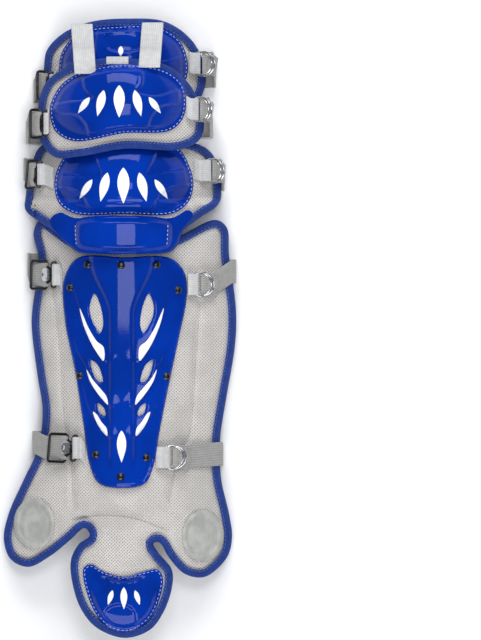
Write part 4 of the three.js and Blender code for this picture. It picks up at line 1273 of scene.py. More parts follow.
def add_plate(material, ink):
    """The hard shin plate with its vents cut through and its printed blades."""
    rim = outline(OUTLINES["plate"], PLATE_STEP)
    vents = [outline(rows, PLATE_STEP * 0.8) for rows in both_sides(VENTS)]
    blades = plate_prints(PLATE_STEP * 0.8)
    lines = [np.vstack([loop, loop[:1]]) for loop in blades]
    flat, triangles = filled(rim, PLATE_STEP, holes=vents, lines=lines)
    over = plate_form(flat)
    under = pad_skin("shin", flat[:, 0], flat[:, 1]) + LAYER_GAP
    points, faces = slab(flat, triangles, under, np.maximum(over, under + MM))
    return add_piece("shin_plate_moulding", points, faces, material, ("shin_plate",),
                     sharp=38, printed=(ink, marked_by(flat, triangles, blades)))


def add_vent_mesh(material):
    """The pad's mesh that shows behind the vents: a thin sheet just under the plate's holes."""
    parts = []
    for rows in both_sides(VENTS):
        loop = outline(rows, 2 * MM)
        centre = loop.mean(axis=0)
        wide = centre + (loop - centre) * 1.25
        flat, triangles = filled(wide, 2 * MM)
        over = pad_skin("shin", flat[:, 0], flat[:, 1]) + LAYER_GAP + 0.4 * MM
        parts.append(slab(flat, triangles, over - 0.8 * MM, over))
    points, faces = put_together(*parts)
    return add_piece("vent_backing_mesh", points, faces, material)


RIVETS = [
    (-0.276, 0.602), (0.013, 0.601), (0.314, 0.602), (-0.424, 0.565), (0.497, 0.561),
    (-0.343, 0.423), (0.399, 0.422), (-0.204, 0.296), (0.229, 0.291), (0.008, 0.26),
]
RIVET_RADIUS = 4.7 * MM


def lathed(profile, sides):
    """A profile of (radius, height) pairs turned about the up axis, closed at both ends."""
    turn = np.arange(sides) / sides * 2 * math.pi
    ring = np.stack([np.cos(turn), np.sin(turn)], axis=1)
    count = len(profile)
    heights = np.broadcast_to(profile[:, None, 1:], (count, sides, 1))
    points = np.concatenate([profile[:, None, :1] * ring[None], heights], axis=2).reshape(-1, 3)
    quads = grid_faces(count, sides, close_columns=True)
    low = np.array([[0, 0, profile[0, 1]]])
    high = np.array([[0, 0, profile[-1, 1]]])
    ring_index = np.arange(sides)
    after = (ring_index + 1) % sides
    first, last = count * sides, count * sides + 1
    top = (count - 1) * sides
    bottom_fan = np.stack([ring_index, np.full(sides, first), after], axis=1)
    top_fan = np.stack([ring_index + top, after + top, np.full(sides, last)], axis=1)
    return np.vstack([points, low, high]), [quads, bottom_fan, top_fan]


def surface_frame(surface, x, y, reach=3 * MM):
    """A place on a surface and the two directions in it and the one out of it, from its slopes."""
    at = np.array([[x, y], [x + reach, y], [x - reach, y], [x, y + reach], [x, y - reach]])
    z = surface(at)
    right = unit(np.array([2 * reach, 0, z[1] - z[2]]))
    out = unit(np.cross(right, np.array([0, 2 * reach, z[3] - z[4]])))
    return np.array([x, y, z[0]]), right, np.cross(out, right), out


def add_rivets(material):
    """Ten domed rivets with a thin collar each."""
    turn = np.linspace(0, math.pi / 2, 9)[:-1]
    dome = np.stack([RIVET_RADIUS * 0.9 * np.cos(turn), 0.5 * MM + 2.4 * MM * np.sin(turn)], axis=1)
    collar = np.array([[RIVET_RADIUS, -1.2 * MM], [RIVET_RADIUS, 0.2 * MM],
                       [RIVET_RADIUS * 0.96, 0.5 * MM]])
    points, faces = lathed(np.vstack([collar, dome]), 28)
    for i, (across, along) in enumerate(RIVETS):
        x, y = placed([(across, along)])[0]
        origin, right, forward, out = surface_frame(plate_form, x, y)
        where = origin + points[:, :1] * right + points[:, 1:2] * forward + points[:, 2:] * out
        node = f"rivet_{i + 1:02d}"
        add_piece(f"{node}_head", where, faces, material, (node,))


# The knee's gusset sheet and padded cross bar.
GUSSET_WALL = 2.2 * MM
BAR_HEIGHT = 8 * MM
BAR_SEAM = [(-0.375, 0.667), (-0.372, 0.65), (-0.366, 0.633)]


def gusset_form(points):
    """The gusset sheet's top."""
    return pad_skin("knee", points[:, 0], points[:, 1]) + LAYER_GAP + GUSSET_WALL


def bar_form(points):
    """The cross bar's top: a padded roll with full sides and stitched flanges at its ends."""
    rim = outline(OUTLINES["bar"], 3 * MM)
    inwards = depth(points, rim)
    puff = ease(inwards, 2.4 * MM, 10 * MM) ** 0.6
    return gusset_form(points) + LAYER_GAP + MM + (BAR_HEIGHT - MM) * puff


def add_knee_front(material, thread):
    """The gusset sheet and the cross bar, with a row of stitches down each end of the bar."""
    for name, key, form, wall in (
        ("knee_gusset", "gusset", gusset_form, GUSSET_WALL), ("knee_bar", "bar", bar_form, None),
    ):
        rim = outline(OUTLINES[key], CAP_STEP)
        flat, triangles = filled(rim, CAP_STEP)
        over = form(flat)
        if wall is not None:
            under = over - wall
        else:
            under = gusset_form(flat) + 0.1 * MM
        points, faces = slab(flat, triangles, under, over)
        add_piece(f"{name}_moulding", points, faces, material, (name,), sharp=40)

    def surface(x, y):
        return bar_form(np.stack([x, y], axis=1))

    rows = [line_of(BAR_SEAM, 2 * MM), line_of(mirrored(BAR_SEAM), 2 * MM)]
    seams = [stitches(row, surface, 2.8 * MM, 2 * MM, 0.8 * MM, 0.35 * MM) for row in rows]
    points, faces = put_together(*seams)
    add_piece("knee_bar_stitches", points, faces, thread)


DISCS = {"ankle_disc_left": (-0.73, 0.183), "ankle_disc_right": (0.705, 0.164)}
DISC_RADIUS = 30 * MM
DISC_WALL = 2.6 * MM


def add_discs(material, thread):
    """The round patches on the ankle lobes, with a raised rim and a sunken middle."""
    for name, share in DISCS.items():
        x, y = placed([share])[0]

        def skin(px, py):
            return pad_skin("shin", px, py)

        narrow = DISC_RADIUS / float(steepness(lambda a, b: pad_top("shin", a, b), x, y))
        turn = np.linspace(0, 2 * math.pi, 120, endpoint=False)
        rim = np.stack([x + narrow * np.cos(turn), y + DISC_RADIUS * np.sin(turn)], axis=1)
        flat, triangles = filled(rim, 1.6 * MM)
        out = np.hypot((flat[:, 0] - x) / narrow, (flat[:, 1] - y) / DISC_RADIUS)
        edge = 1 - ease(out, 0.94, 1.0)
        ring = ease(out, 0.78, 0.82) * (1 - ease(out, 0.9, 0.94))
        groove = hill(out - 0.7, 0.035) + hill(out - 0.35, 0.03)
        wall = DISC_WALL * (0.45 + 0.35 * edge + 0.45 * ring - 0.3 * groove)
        under = skin(flat[:, 0], flat[:, 1]) + LAYER_GAP - 0.6 * MM
        points, faces = slab(flat, triangles, under, under + 0.6 * MM + wall)
        add_piece(f"{name}_patch", points, faces, material, (name,), sharp=40)
        row = np.stack([x + 0.97 * narrow * np.cos(turn),
                        y + 0.97 * DISC_RADIUS * np.sin(turn)], axis=1)

        def sewn(px, py):
            return skin(px, py) + LAYER_GAP + DISC_WALL * 0.5

        points, faces = stitches(row, sewn, 2.6 * MM, 1.8 * MM, 0.7 * MM, 0.3 * MM, closed=True)
        add_piece(f"{name}_stitches", points, faces, thread)


# The strap rows: the pad below, the hook's kind, the tabs' sewn ends as shares across and along, and
# how far along the guard the elastic turns over each wing's edge.
StrapRow = namedtuple("StrapRow", "pad hook left_tab right_tab left_edge right_edge")

# A hook's length, how far its middle bar stands to the right of its middle in millimetres, and
# whether it has a snap tongue.
Hook = namedtuple("Hook", "length bar snap")
SHORT_HOOK = Hook(28 * MM, 1.0, False)
LONG_HOOK = Hook(44 * MM, 5.0, True)

STRAP_ROWS = {
    "thigh": StrapRow("thigh", SHORT_HOOK, (-0.535, 0.905), (0.592, 0.93), 0.884, 0.909),
    "upper_knee": StrapRow("upper", SHORT_HOOK, (-0.606, 0.838), (0.568, 0.857), 0.818, 0.829),
    "knee": StrapRow("knee", SHORT_HOOK, (-0.568, 0.742), (0.636, 0.757), 0.756, 0.742),
    "shin": StrapRow("shin", LONG_HOOK, (-0.493, 0.574), (0.582, 0.569), 0.602, 0.592),
    "ankle": StrapRow("shin", LONG_HOOK, (-0.298, 0.297), (0.31, 0.291), 0.314, 0.296),
}
RING_RADIUS = 14 * MM
RING_WIRE = 1.15 * MM
WEBBING_WIDTH = 25.4 * MM
ELASTIC_WIDTH = 28 * MM
STRAP_WALL = 2.2 * MM
WEBBING_WALL = 1.7 * MM
STRAP_GAP = 0.5 * MM
FRAME_BAR = 3.4 * MM
FRAME_WALL = 2.6 * MM
HOOK_RISE = 3.4 * MM
RING_BEND = 0.35

# The straps' ways around the hardware, as rows of (across, out) in millimetres. On a hook they
# start from its right end, its middle bar and its left end, and on a ring from its middle.
TAB_ON_HOOK = [(-5.6, -0.4), (-4.6, 2.2), (-1.7, 3.2), (1.4, 2.2)]
ELASTIC_ON_BAR = [(-3.2, 0.6), (1.4, 0.4), (1.2, 3), (-2.6, 2.8), (-8, 1)]
ELASTIC_PAST_HOOK = [(0, 0.2), (-3, 0.1)]
TAB_ON_RING = [(-5.2, -0.8), (-3.6, 1), (-5.4, 2.9), (-12, 3), (-17.5, 2.4)]
ELASTIC_ON_RING = [(3.4, -0.6), (1.6, 0.4), (3.4, 1.7), (12, 1.2), (18, 1)]
# The elastic's loose end beyond the ring, as rows of (across, along, out) in millimetres.
ELASTIC_TAIL = [(9, -0.6, 2.6), (13, -1.2, 3.2), (18, -2.4, 3), (23, -4.6, 1.6)]


class Seat:
    """Where a piece of hardware lies: the middle of its node, with directions across the guard, along
    it and out of it that follow the pad's skin."""

    def __init__(self, node, key):
        low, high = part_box(node)
        self.origin = np.array([(a + b) / 2 for a, b in zip(low, high)])

        def skin(points):
            return pad_skin(key, points[:, 0], points[:, 1])

        x, y, _ = self.origin
        _, self.right, self.forward, self.out = surface_frame(skin, x, y, 9 * MM)

    def at(self, points):
        """Points given in the seat's own directions, in the frame."""
        points = np.asarray(points, float).reshape(-1, 3)
        return (self.origin + points[:, :1] * self.right + points[:, 1:2] * self.forward
                + points[:, 2:] * self.out)

    def mid(self, rows, start=0.0):
        """Rows of (across, out) in millimetres, counted from a start, as places on the seat's middle
        line."""
        return self.at([((start + across) * MM, 0, out * MM) for across, out in rows])


def over_skin(key, start, stop, width, wall):
    """A way from start to stop that lies on a pad: the highest skin over the strap's width, and half
    the strap's wall above it."""
    count = max(2, int(abs(stop[0] - start[0]) / (5 * MM)))
    share = np.linspace(0, 1, count)
    x = start[0] + (stop[0] - start[0]) * share
    y = start[1] + (stop[1] - start[1]) * share
    beside = np.linspace(-width / 2, width / 2, 5)
    heights = pad_skin(key, x[:, None] + 0 * beside[None], y[:, None] + beside[None])
    z = heights.max(axis=1) + STRAP_GAP + wall / 2 * steepness(lambda a, b: pad_skin(key, a, b), x, y)
    return np.stack([x, y, z], axis=1)


def strap_piece(name, path, width, wall, material, node, across=ALONG, step=2.5 * MM):
    """Flat webbing along a path: a smooth curve through the path's points carries the webbing's
    section, whose width keeps one direction."""
    curve = even_steps(curved_through(path, finer=10), step)
    curve[:, 2] = np.maximum(curve[:, 2], wall / 2)
    side = np.tile(across, (len(curve), 1))
    out = unit(np.cross(tangents(curve), side))
    profile = strip_profile(width, wall)
    points, faces = carried(curve, side, out, profile)
    replaced = (node,) if node else ()
    return add_piece(name, points, faces, material, replaced, uv=strip_uv(curve, profile),
                     sharp=50)


def edge_at(key, y, side):
    """The outermost place of a pad's outline within a strap's width."""
    rim = outline(OUTLINES[key], 2 * MM)
    near = np.abs(rim[:, 1] - y) < ELASTIC_WIDTH / 2 + 2 * MM
    return side * np.max(side * rim[near, 0])


def down_the_edge(key, start, along, side):
    """The elastic's way from a piece of hardware over the wing's edge down to the floor."""
    y = along * LENGTH + TOE_Y
    edge = edge_at(key, y, side)
    rest = []
    if side * (edge - start[0]) > 5 * MM:
        first = (start[0] + side * 4 * MM, start[1] + 0.2 * (y - start[1]))
        rest = [over_skin(key, first, (edge, y), ELASTIC_WIDTH, STRAP_WALL)]
    past = STRAP_GAP + STRAP_WALL / 2
    upright = side * max(side * edge, side * start[0]) + side * (past + 0.4 * MM)
    last = rest[0][-1] if rest else start
    shoulder = max(min(last[2], start[2]) - past, 3 * STRAP_WALL)
    under = upright - side * (2 * past)
    down = np.array([[upright, y, shoulder], [upright, y, 1.6 * STRAP_WALL],
                     [under, y, STRAP_WALL / 2]])
    return np.vstack(rest + [down])


def add_strap_row(name, webbing, elastic):
    """One row: two sewn tabs, the elastic from the hook behind the leg to the rings, and its tail."""
    row = STRAP_ROWS[name]
    key = row.pad
    hook, ring = Seat(f"{name}_hook", key), Seat(f"{name}_ring", key)
    half = row.hook.length / MM / 2
    left_end = hook.mid(TAB_ON_HOOK, half)
    right_end = ring.mid(TAB_ON_RING)
    for side_name, end, share, side in (
        ("left", left_end, row.left_tab, -1), ("right", right_end, row.right_tab, 1),
    ):
        sewn = placed([share])[0]
        stop = (end[-1, 0] - side * 4 * MM, end[-1, 1])
        way = over_skin(key, sewn, stop, WEBBING_WIDTH, WEBBING_WALL)
        if side * (stop[0] - sewn[0]) < 3 * MM:
            way = way[:1]
        path = np.vstack([way, end[::-1]])
        strap_piece(f"{name}_tab_{side_name}_webbing", path, WEBBING_WIDTH, WEBBING_WALL, webbing,
                    f"{name}_tab_{side_name}")
    left = np.vstack([hook.mid(ELASTIC_ON_BAR, row.hook.bar), hook.mid(ELASTIC_PAST_HOOK, -half)])
    right = ring.mid(ELASTIC_ON_RING)
    left_way = down_the_edge(key, left[-1], row.left_edge, -1)
    right_way = down_the_edge(key, right[-1], row.right_edge, 1)
    path = np.vstack([left, left_way, right_way[::-1], right[::-1]])
    strap_piece(f"{name}_elastic", path, ELASTIC_WIDTH, STRAP_WALL, elastic, f"{name}_strap")
    tail = ring.at(np.array(ELASTIC_TAIL) * MM)
    slant = unit(0.22 * ring.right + 0.97 * ring.forward)
    strap_piece(f"{name}_elastic_tail", tail, ELASTIC_WIDTH * 0.86, STRAP_WALL * 0.75, elastic, None,
                across=slant)


def add_rings(name, material):
    """Two wire rings that lie together. The outer one leans up over the elastic's tail."""
    seat = Seat(f"{name}_ring", STRAP_ROWS[name].pad)
    bend = -RING_RADIUS * RING_BEND
    turn = np.linspace(0, 2 * math.pi, 48, endpoint=False)
    parts = []
    for shift, lean, lift in ((-0.9 * MM, 0.24, 0.0), (1.5 * MM, 0.3, 0.9 * MM)):
        across, along = RING_RADIUS * np.cos(turn) + shift, RING_RADIUS * np.sin(turn)
        rise = lift + lean * (across - bend) * (across > bend)
        path = seat.at(np.stack([across, along, rise], axis=1))
        parts.append(tube(path, RING_WIRE, sides=10, closed=True, first_up=seat.out))
    points, faces = put_together(*parts)
    add_piece(f"{name}_wire_rings", points, faces, material, (f"{name}_ring",))


def rounded_frame(seat, start, end, half_width, bar, wall, lift=0.0, corner=3 * MM):
    """A closed loop of bar with rounded corners, each a quarter of a circle. The bar at its start
    is lifted and the sides slope down to the other bar."""
    quarter = np.linspace(0, math.pi / 2, 6)
    loop = []
    for cx, cy, turn in ((end, half_width, 0), (start, half_width, 1), (start, -half_width, 2),
                         (end, -half_width, 3)):
        angle = quarter + turn * math.pi / 2
        sign_x, sign_y = (1 if turn in (0, 3) else -1), (1 if turn in (0, 1) else -1)
        middle = np.array([cx - sign_x * corner, cy - sign_y * corner])
        loop.append(middle + corner * np.stack([np.cos(angle), np.sin(angle)], axis=1))
    flat = even_steps(np.vstack(loop), 1.5 * MM, closed=True)
    path = seat.at(np.column_stack([flat, lift * (end - flat[:, 0]) / (end - start)]))
    way = tangents(path, closed=True)
    side = unit(np.cross(way, seat.out))
    turn = np.arange(12) / 12 * 2 * math.pi
    section = np.stack([bar / 2 * np.sign(np.cos(turn)) * np.abs(np.cos(turn)) ** 0.6,
                        wall / 2 * np.sign(np.sin(turn)) * np.abs(np.sin(turn)) ** 0.6], axis=1)
    return carried(path, side, np.cross(side, way), section, closed_path=True)


def seat_slab(seat, rows, form, under, step=1.1 * MM):
    """A flat plate of hardware: an outline in millimetres in the seat's own plane, with its top and
    underside as functions there."""
    curve = curved_through(np.array(rows, float) * MM, closed=True)
    loop = turned_left(even_steps(curve, step, closed=True))
    flat, triangles = filled(loop, step)
    points, faces = slab(flat, triangles, under(flat, loop), form(flat, loop))
    return seat.at(points), faces


def both_halves(upper, nose, heel):
    """An outline that is alike on both sides of its middle line, from its upper half."""
    return [*upper, (nose, 0), *[(across, -along) for across, along in reversed(upper)], (heel, 0)]


def add_hook(name, black, nickel):
    """A hook: a loop for the elastic, a domed blade whose nose goes over the tab's own loop, and on
    the long ones a bright snap tongue with its rivet."""
    row = STRAP_ROWS[name]
    seat = Seat(f"{name}_hook", row.pad)
    half = row.hook.length / 2
    bar = row.hook.bar * MM
    outer = rounded_frame(seat, -half + 2 * MM, bar, ELASTIC_WIDTH / 2 + FRAME_BAR - MM, FRAME_BAR,
                          FRAME_WALL, lift=HOOK_RISE)
    inner = rounded_frame(seat, half - 8.5 * MM, half - MM, WEBBING_WIDTH / 2 + FRAME_BAR - MM,
                          FRAME_BAR * 0.75, FRAME_WALL)
    start, end = bar / MM, half / MM - 9.5
    sides = [(start - 1, 12), (start + 2, 11), (end + 1, 7.5), (end + 3.5, 5)]
    blade = both_halves(sides, nose=end + 4.5, heel=start - 1.6)

    def domed(flat, loop):
        return 1.5 * MM + 1.9 * MM * ease(depth(flat, loop), -0.2 * MM, 3 * MM)

    def level(flat, loop):
        return np.full(len(flat), 0.9 * MM)

    points, faces = put_together(outer, inner, seat_slab(seat, blade, domed, level))
    add_piece(f"{name}_hook_frame", points, faces, black, (f"{name}_hook",), sharp=45)
    if row.hook.snap:
        tongue = both_halves([(1.5, 6.5), (8, 7.5), (12.5, 6)], nose=13.5, heel=-0.6)

        def tongue_top(flat, loop):
            eye = hill(np.hypot(flat[:, 0] - 3.6 * MM, flat[:, 1]), 1.7 * MM)
            return 4.2 * MM + 0.9 * MM * ease(depth(flat, loop), 0, 1.6 * MM) - 1.2 * MM * eye

        def tongue_under(flat, loop):
            return np.full(len(flat), 2.2 * MM)

        points, faces = seat_slab(seat, tongue, tongue_top, tongue_under, 0.8 * MM)
        add_piece(f"{name}_hook_snap", points, faces, nickel, sharp=45)


# Webbing that ties the top flap to the middle one: across at the top and bottom, along likewise.
LIFT_STRAPS = {
    "lift_strap_left": ((-0.322, 0.99), (-0.288, 0.909)),
    "lift_strap_right": ((0.28, 0.992), (0.252, 0.919)),
}
CENTRE_TAB = [(-0.11, 0.9245), (0.076, 0.9245), (0.076, 0.9365), (-0.11, 0.9365)]


def stack_top(points):
    """The highest of the flaps and their caps at each place."""
    x, y = points[:, 0], points[:, 1]
    height = pad_skin("thigh", x, y)
    low, high = OUTLINE_BOXES["thigh_cap"]
    in_cap = ease(y, low[1], low[1] + 2 * MM) * (1 - ease(y, high[1] - 4 * MM, high[1] + 2 * MM))
    over_cap = cap_limit("thigh_cap", "thigh", CAP_DOME, x, y)
    height = height + np.maximum(over_cap - height, 0) * in_cap
    edge = OUTLINE_BOXES["upper"][1][1]
    on_upper = 1 - ease(y, edge - 3 * MM, edge + 6 * MM)
    upper = pad_skin("upper", x, y)
    faded = height * (1 - on_upper)
    return np.where(on_upper > 0, np.maximum(faded + upper * on_upper, faded), height)


def add_lift_straps(material):
    """The two straps on the top flap."""
    for name, ends in LIFT_STRAPS.items():
        top, bottom = placed(ends)
        share = np.linspace(0, 1, 12)[:, None]
        middle = top + (bottom - top) * share
        beside = np.linspace(-WEBBING_WIDTH / 2, WEBBING_WIDTH / 2, 5)
        spots = (middle[:, None, :] + beside[None, :, None] * np.array([1.0, 0.0])).reshape(-1, 2)
        z = stack_top(spots).reshape(len(middle), -1).max(axis=1) + STRAP_GAP + WEBBING_WALL / 2
        z = np.convolve(np.pad(z, 1, mode="edge"), [0.25, 0.5, 0.25], mode="valid")
        path = np.column_stack([middle, z])
        strap_piece(f"{name}_webbing", path, WEBBING_WIDTH, WEBBING_WALL, material, name,
                    across=ACROSS)


def add_centre_tab(material):
    """The small tab on the middle flap's top edge."""
    corners = placed(CENTRE_TAB)
    loop = turned_left(even_steps(corners, 1.5 * MM, closed=True))
    flat, triangles = filled(loop, 1.5 * MM)
    under = pad_skin("upper", flat[:, 0], flat[:, 1]) + LAYER_GAP
    over = under + 1.0 * MM + 0.6 * MM * ease(depth(flat, loop), 0, 1.2 * MM)
    points, faces = slab(flat, triangles, under, over)
    uv = points[:, :2] - corners[0]
    add_piece("centre_tab_webbing", points, faces, material, ("centre_tab",), uv=uv,
              sharp=50)

# The camera looks straight down, as the photo does, from far off.
CAMERA_X = 0.1427
CAMERA_Y = 0.0100
CAMERA_DISTANCE = 12.0
PICTURE_HEIGHT = 0.7552
SENSOR = 36.0

# The lights: place, target, size, power in watts and colour.
GUARD_MIDDLE = (0.0, 0.0, 0.06)
SOFTBOXES = {
    "overhead_box": ((0.1, 0.18, 1.2), (0.08, 0.18, 0.1), (0.36, 0.5), 4.6, (0.96, 0.97, 1.0)),
    "top_box": ((0.1, 2.1, 1.5), GUARD_MIDDLE, (2.4, 1.0), 54, (1.0, 1.0, 1.0)),
    "bottom_box": ((0.0, -2.1, 1.5), GUARD_MIDDLE, (2.4, 1.0), 48, (1.0, 1.0, 1.0)),
}


def add_floor(material):
    """A wide flat floor."""
    half = 14.0
    count = 3
    x, y = np.meshgrid(np.linspace(-half, half, count), np.linspace(-half, half, count))
    points = np.stack([x.ravel(), y.ravel(), np.full(x.size, 0.0)], axis=1)
    mesh = bpy.data.meshes.new("studio_floor")
    mesh.from_pydata(points.tolist(), [], grid_faces(count, count)[:, ::-1].tolist())
    mesh.materials.append(material)
    floor = bpy.data.objects.new("studio_floor", mesh)
    bpy.context.scene.collection.objects.link(floor)


def add_softbox(name, place, target, size, power, colour):
    """One rectangular area light that faces a target."""
    light = bpy.data.lights.new(name, "AREA")
    light.shape = "RECTANGLE"
    light.size, light.size_y = size
    light.energy = power
    light.color = colour
    lamp = bpy.data.objects.new(name, light)
    lamp.location = place
    lamp.rotation_euler = (Vector(target) - Vector(place)).to_track_quat("-Z", "Y").to_euler()
    bpy.context.scene.collection.objects.link(lamp)


def add_studio():
    """Soft studio light: dim pale surroundings, a small box overhead and a large one beyond each end,
    with the camera."""
    world = bpy.data.worlds.new("pale_surroundings")
    world.use_nodes = True
    sky = world.node_tree.nodes["Background"]
    sky.inputs["Color"].default_value = (0.92, 0.94, 1.0, 1.0)
    sky.inputs["Strength"].default_value = 0.2
    bpy.context.scene.world = world
    for name, row in SOFTBOXES.items():
        add_softbox(name, *row)
    camera = bpy.data.cameras.new("photo_view")
    camera.sensor_fit = "AUTO"
    camera.sensor_width = SENSOR
    camera.lens = SENSOR * CAMERA_DISTANCE / PICTURE_HEIGHT
    camera.clip_end = 100
    view = bpy.data.objects.new("photo_view", camera)
    view.location = (CAMERA_X, CAMERA_Y, 0.05 + CAMERA_DISTANCE)
    bpy.context.scene.collection.objects.link(view)
    bpy.context.scene.camera = view
    bpy.context.scene.view_settings.view_transform = "Standard"


def size_setting(name, description, default):
    """A length in the panel."""
    return FloatProperty(name=name, description=description, default=default, unit="LENGTH",
                         precision=4)


def colour_setting(name, description, tone):
    """A colour in the panel, from its hex value."""
    return FloatVectorProperty(name=name, description=description, default=linear(tone),
                               subtype="COLOR")


class LegGuardSizes(PropertyGroup):
    """Sizes that a user would change."""

    mesh_pitch: size_setting("Mesh pitch", "Distance between the knit mesh's holes", 2.7 * MM)
    webbing_rib: size_setting("Webbing rib", "Distance between the webbing's ribs", 2.2 * MM)
    elastic_rib: size_setting("Elastic rib", "Distance between the elastic's ribs", 2.8 * MM)


class LegGuardColours(PropertyGroup):
    """Colours that a user would change."""

    mesh: colour_setting("Mesh", "Knit mesh of the cushions", "cfcbc7")
    tape: colour_setting("Edge tape", "Knit tape around the cushions", "1b3a88")
    moulding: colour_setting("Moulding", "Glossy caps and plate", "002f96")
    webbing: colour_setting("Webbing", "Tabs and lift straps", "c8c9c9")
    elastic: colour_setting("Elastic", "Straps behind the leg", "a1a09e")
    hardware: colour_setting("Hardware", "Hooks and rivets", "101114")
    wire: colour_setting("Wire", "Rings", "c9cbce")
    rubber: colour_setting("Rubber", "Ankle discs", "adaeaa")
    print_white: colour_setting("Print", "White blades on the caps and plate", "f2f3f4")
    cap_thread: colour_setting("Cap thread", "Stitches on the caps", "b9c6ee")
    floor: colour_setting("Floor", "Paper that the guard lies on", "f6f7f8")
    tape_thread: colour_setting("Tape thread", "Stitches on the edge tape", "4f6cc0")


FINISHES = {
    "knit_mesh": lambda colours, sizes: knit_spacer_mesh(colours.mesh, sizes.mesh_pitch),
    "edge_tape": lambda colours, sizes: knit_edge_tape(colours.tape),
    "gloss_moulding": lambda colours, sizes: moulded_gloss_polyurethane(colours.moulding),
    "white_print": lambda colours, sizes: gloss_print(colours.print_white),
    "woven_webbing": lambda colours, sizes: woven_strap(
        "grey_webbing", colours.webbing, sizes.webbing_rib, 1.6 * MM, 0.7,
    ),
    "woven_elastic": lambda colours, sizes: woven_strap(
        "grey_elastic", colours.elastic, sizes.elastic_rib, 1.4 * MM, 0.6,
    ),
    "black_coated_steel": lambda colours, sizes: black_coated_steel(colours.hardware),
    "ring_wire": lambda colours, sizes: nickel_plated_wire(colours.wire),
    "disc_rubber": lambda colours, sizes: moulded_rubber(colours.rubber),
    "cap_thread": lambda colours, sizes: sewing_thread("cap_thread", colours.cap_thread),
    "tape_thread": lambda colours, sizes: sewing_thread("tape_thread", colours.tape_thread),
    "seam_thread": lambda colours, sizes: sewing_thread("seam_thread", shade(colours.mesh, 0.55)),
    "studio_paper": lambda colours, sizes: studio_paper(colours.floor),
}


def finish(kind):
    """The material of a kind, made from the panel's colours and sizes the first time."""
    material = bpy.data.materials.get(kind)
    if material is None:
        scene = bpy.context.scene
        material = FINISHES[kind](scene.leg_guard_colours, scene.leg_guard_sizes)
        material.name = kind
    return material


PADS = (("shin", "shin"), ("knee", "knee"), ("upper_knee", "upper"), ("thigh", "thigh"))


class LEGGUARD_OT_cushions(Operator):
    """Adds the four padded mesh cushions and the stitches of their sewn channels."""

    bl_idname = "leg_guard.cushions"
    bl_label = "Cushions"

    def execute(self, context):
        for name, key in PADS:
            add_pad(name, key, finish("knit_mesh"))
        add_seam_stitches("shin", "shin", finish("seam_thread"))
        return {"FINISHED"}


class LEGGUARD_OT_edge_tapes(Operator):
    """Adds the knit tape around each cushion, with its row of stitches."""

    bl_idname = "leg_guard.edge_tapes"
    bl_label = "Edge tapes"

    def execute(self, context):
        for name, key in PADS:
            add_tape(name, key, finish("edge_tape"))
            add_tape_stitches(name, key, finish("tape_thread"))
        return {"FINISHED"}


class LEGGUARD_OT_caps(Operator):
    """Adds the four glossy moulded caps with their printed lozenges and stitched flanges."""

    bl_idname = "leg_guard.caps"
    bl_label = "Caps"

    def execute(self, context):
        for name in CAPS:
            add_cap(name, finish("gloss_moulding"), finish("white_print"))
            add_cap_stitches(name, finish("cap_thread"))
        return {"FINISHED"}


class LEGGUARD_OT_shin_plate(Operator):
    """Adds the vented shin plate and the mesh that shows through its vents."""

    bl_idname = "leg_guard.shin_plate"
    bl_label = "Shin plate"

    def execute(self, context):
        add_plate(finish("gloss_moulding"), finish("white_print"))
        add_vent_mesh(finish("knit_mesh"))
        return {"FINISHED"}


class LEGGUARD_OT_rivets(Operator):
    """Adds the ten black rivets of the shin plate."""

    bl_idname = "leg_guard.rivets"
    bl_label = "Rivets"

    def execute(self, context):
        add_rivets(finish("black_coated_steel"))
        return {"FINISHED"}


class LEGGUARD_OT_knee_front(Operator):
    """Adds the knee's gusset sheet and padded cross bar."""

    bl_idname = "leg_guard.knee_front"
    bl_label = "Knee gusset and bar"

    def execute(self, context):
        add_knee_front(finish("gloss_moulding"), finish("cap_thread"))
        return {"FINISHED"}


class LEGGUARD_OT_discs(Operator):
    """Adds the round patches on the ankle lobes."""

    bl_idname = "leg_guard.discs"
    bl_label = "Ankle discs"

    def execute(self, context):
        add_discs(finish("disc_rubber"), finish("seam_thread"))
        return {"FINISHED"}


class LEGGUARD_OT_lift_straps(Operator):
    """Adds the two straps and the small tab at the top."""

    bl_idname = "leg_guard.lift_straps"
    bl_label = "Lift straps"

    def execute(self, context):
        add_lift_straps(finish("woven_webbing"))
        add_centre_tab(finish("woven_webbing"))
        return {"FINISHED"}


class LEGGUARD_OT_strap_rows(Operator):
    """Adds the sewn tabs and the elastic of the five strap rows."""

    bl_idname = "leg_guard.strap_rows"
    bl_label = "Strap rows"

    def execute(self, context):
        for name in STRAP_ROWS:
            add_strap_row(name, finish("woven_webbing"), finish("woven_elastic"))
        return {"FINISHED"}


class LEGGUARD_OT_rings(Operator):
    """Adds the pair of wire rings of each strap row."""

    bl_idname = "leg_guard.rings"
    bl_label = "Rings"

    def execute(self, context):
        for name in STRAP_ROWS:
            add_rings(name, finish("ring_wire"))
        return {"FINISHED"}


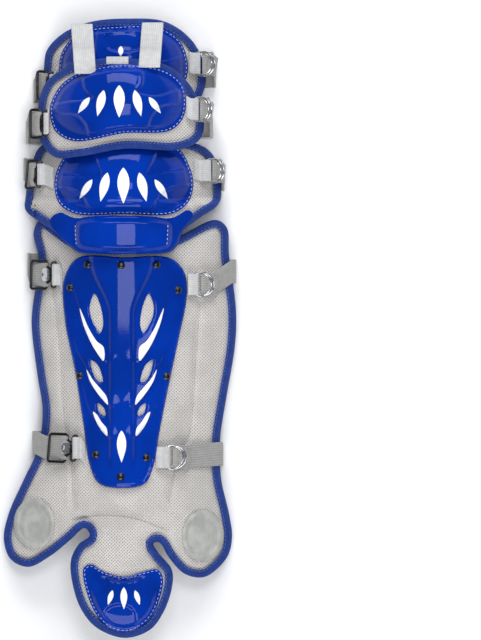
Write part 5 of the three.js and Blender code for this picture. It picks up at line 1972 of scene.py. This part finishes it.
class LEGGUARD_OT_hooks(Operator):
    """Adds the hook of each strap row."""

    bl_idname = "leg_guard.hooks"
    bl_label = "Hooks"

    def execute(self, context):
        for name in STRAP_ROWS:
            add_hook(name, finish("black_coated_steel"), finish("ring_wire"))
        return {"FINISHED"}


class LEGGUARD_OT_stage(Operator):
    """Adds the pale floor, the studio lights and the camera at the photo's viewing angle."""

    bl_idname = "leg_guard.stage"
    bl_label = "Stage"

    def execute(self, context):
        add_floor(finish("studio_paper"))
        add_studio()
        return {"FINISHED"}


OPERATORS = (
    LEGGUARD_OT_cushions, LEGGUARD_OT_edge_tapes, LEGGUARD_OT_caps, LEGGUARD_OT_shin_plate,
    LEGGUARD_OT_rivets, LEGGUARD_OT_knee_front, LEGGUARD_OT_discs, LEGGUARD_OT_lift_straps,
    LEGGUARD_OT_strap_rows, LEGGUARD_OT_rings, LEGGUARD_OT_hooks, LEGGUARD_OT_stage,
)


class LEGGUARD_PT_panel(Panel):
    """Lists the guard's sizes, colours and pieces in the sidebar."""

    bl_idname = "LEGGUARD_PT_panel"
    bl_label = "Leg guard"
    bl_space_type = "VIEW_3D"
    bl_region_type = "UI"
    bl_category = "Leg guard"

    def draw(self, context):
        layout = self.layout
        for group in (context.scene.leg_guard_sizes, context.scene.leg_guard_colours):
            for key in group.__annotations__:
                layout.prop(group, key)
        for operator in OPERATORS:
            layout.operator(operator.bl_idname)


CLASSES = (LegGuardSizes, LegGuardColours, *OPERATORS, LEGGUARD_PT_panel)


def register():
    """Registers the classes and puts the settings on the scene."""
    for item in CLASSES:
        bpy.utils.register_class(item)
    bpy.types.Scene.leg_guard_sizes = PointerProperty(type=LegGuardSizes)
    bpy.types.Scene.leg_guard_colours = PointerProperty(type=LegGuardColours)


def unregister():
    """Takes the settings and the classes away."""
    del bpy.types.Scene.leg_guard_colours
    del bpy.types.Scene.leg_guard_sizes
    for item in reversed(CLASSES):
        bpy.utils.unregister_class(item)


def main():
    """Builds the guard."""
    register()
    for operator in OPERATORS:
        getattr(bpy.ops.leg_guard, operator.bl_idname.split(".")[1])()


if __name__ == "__main__":
    main()
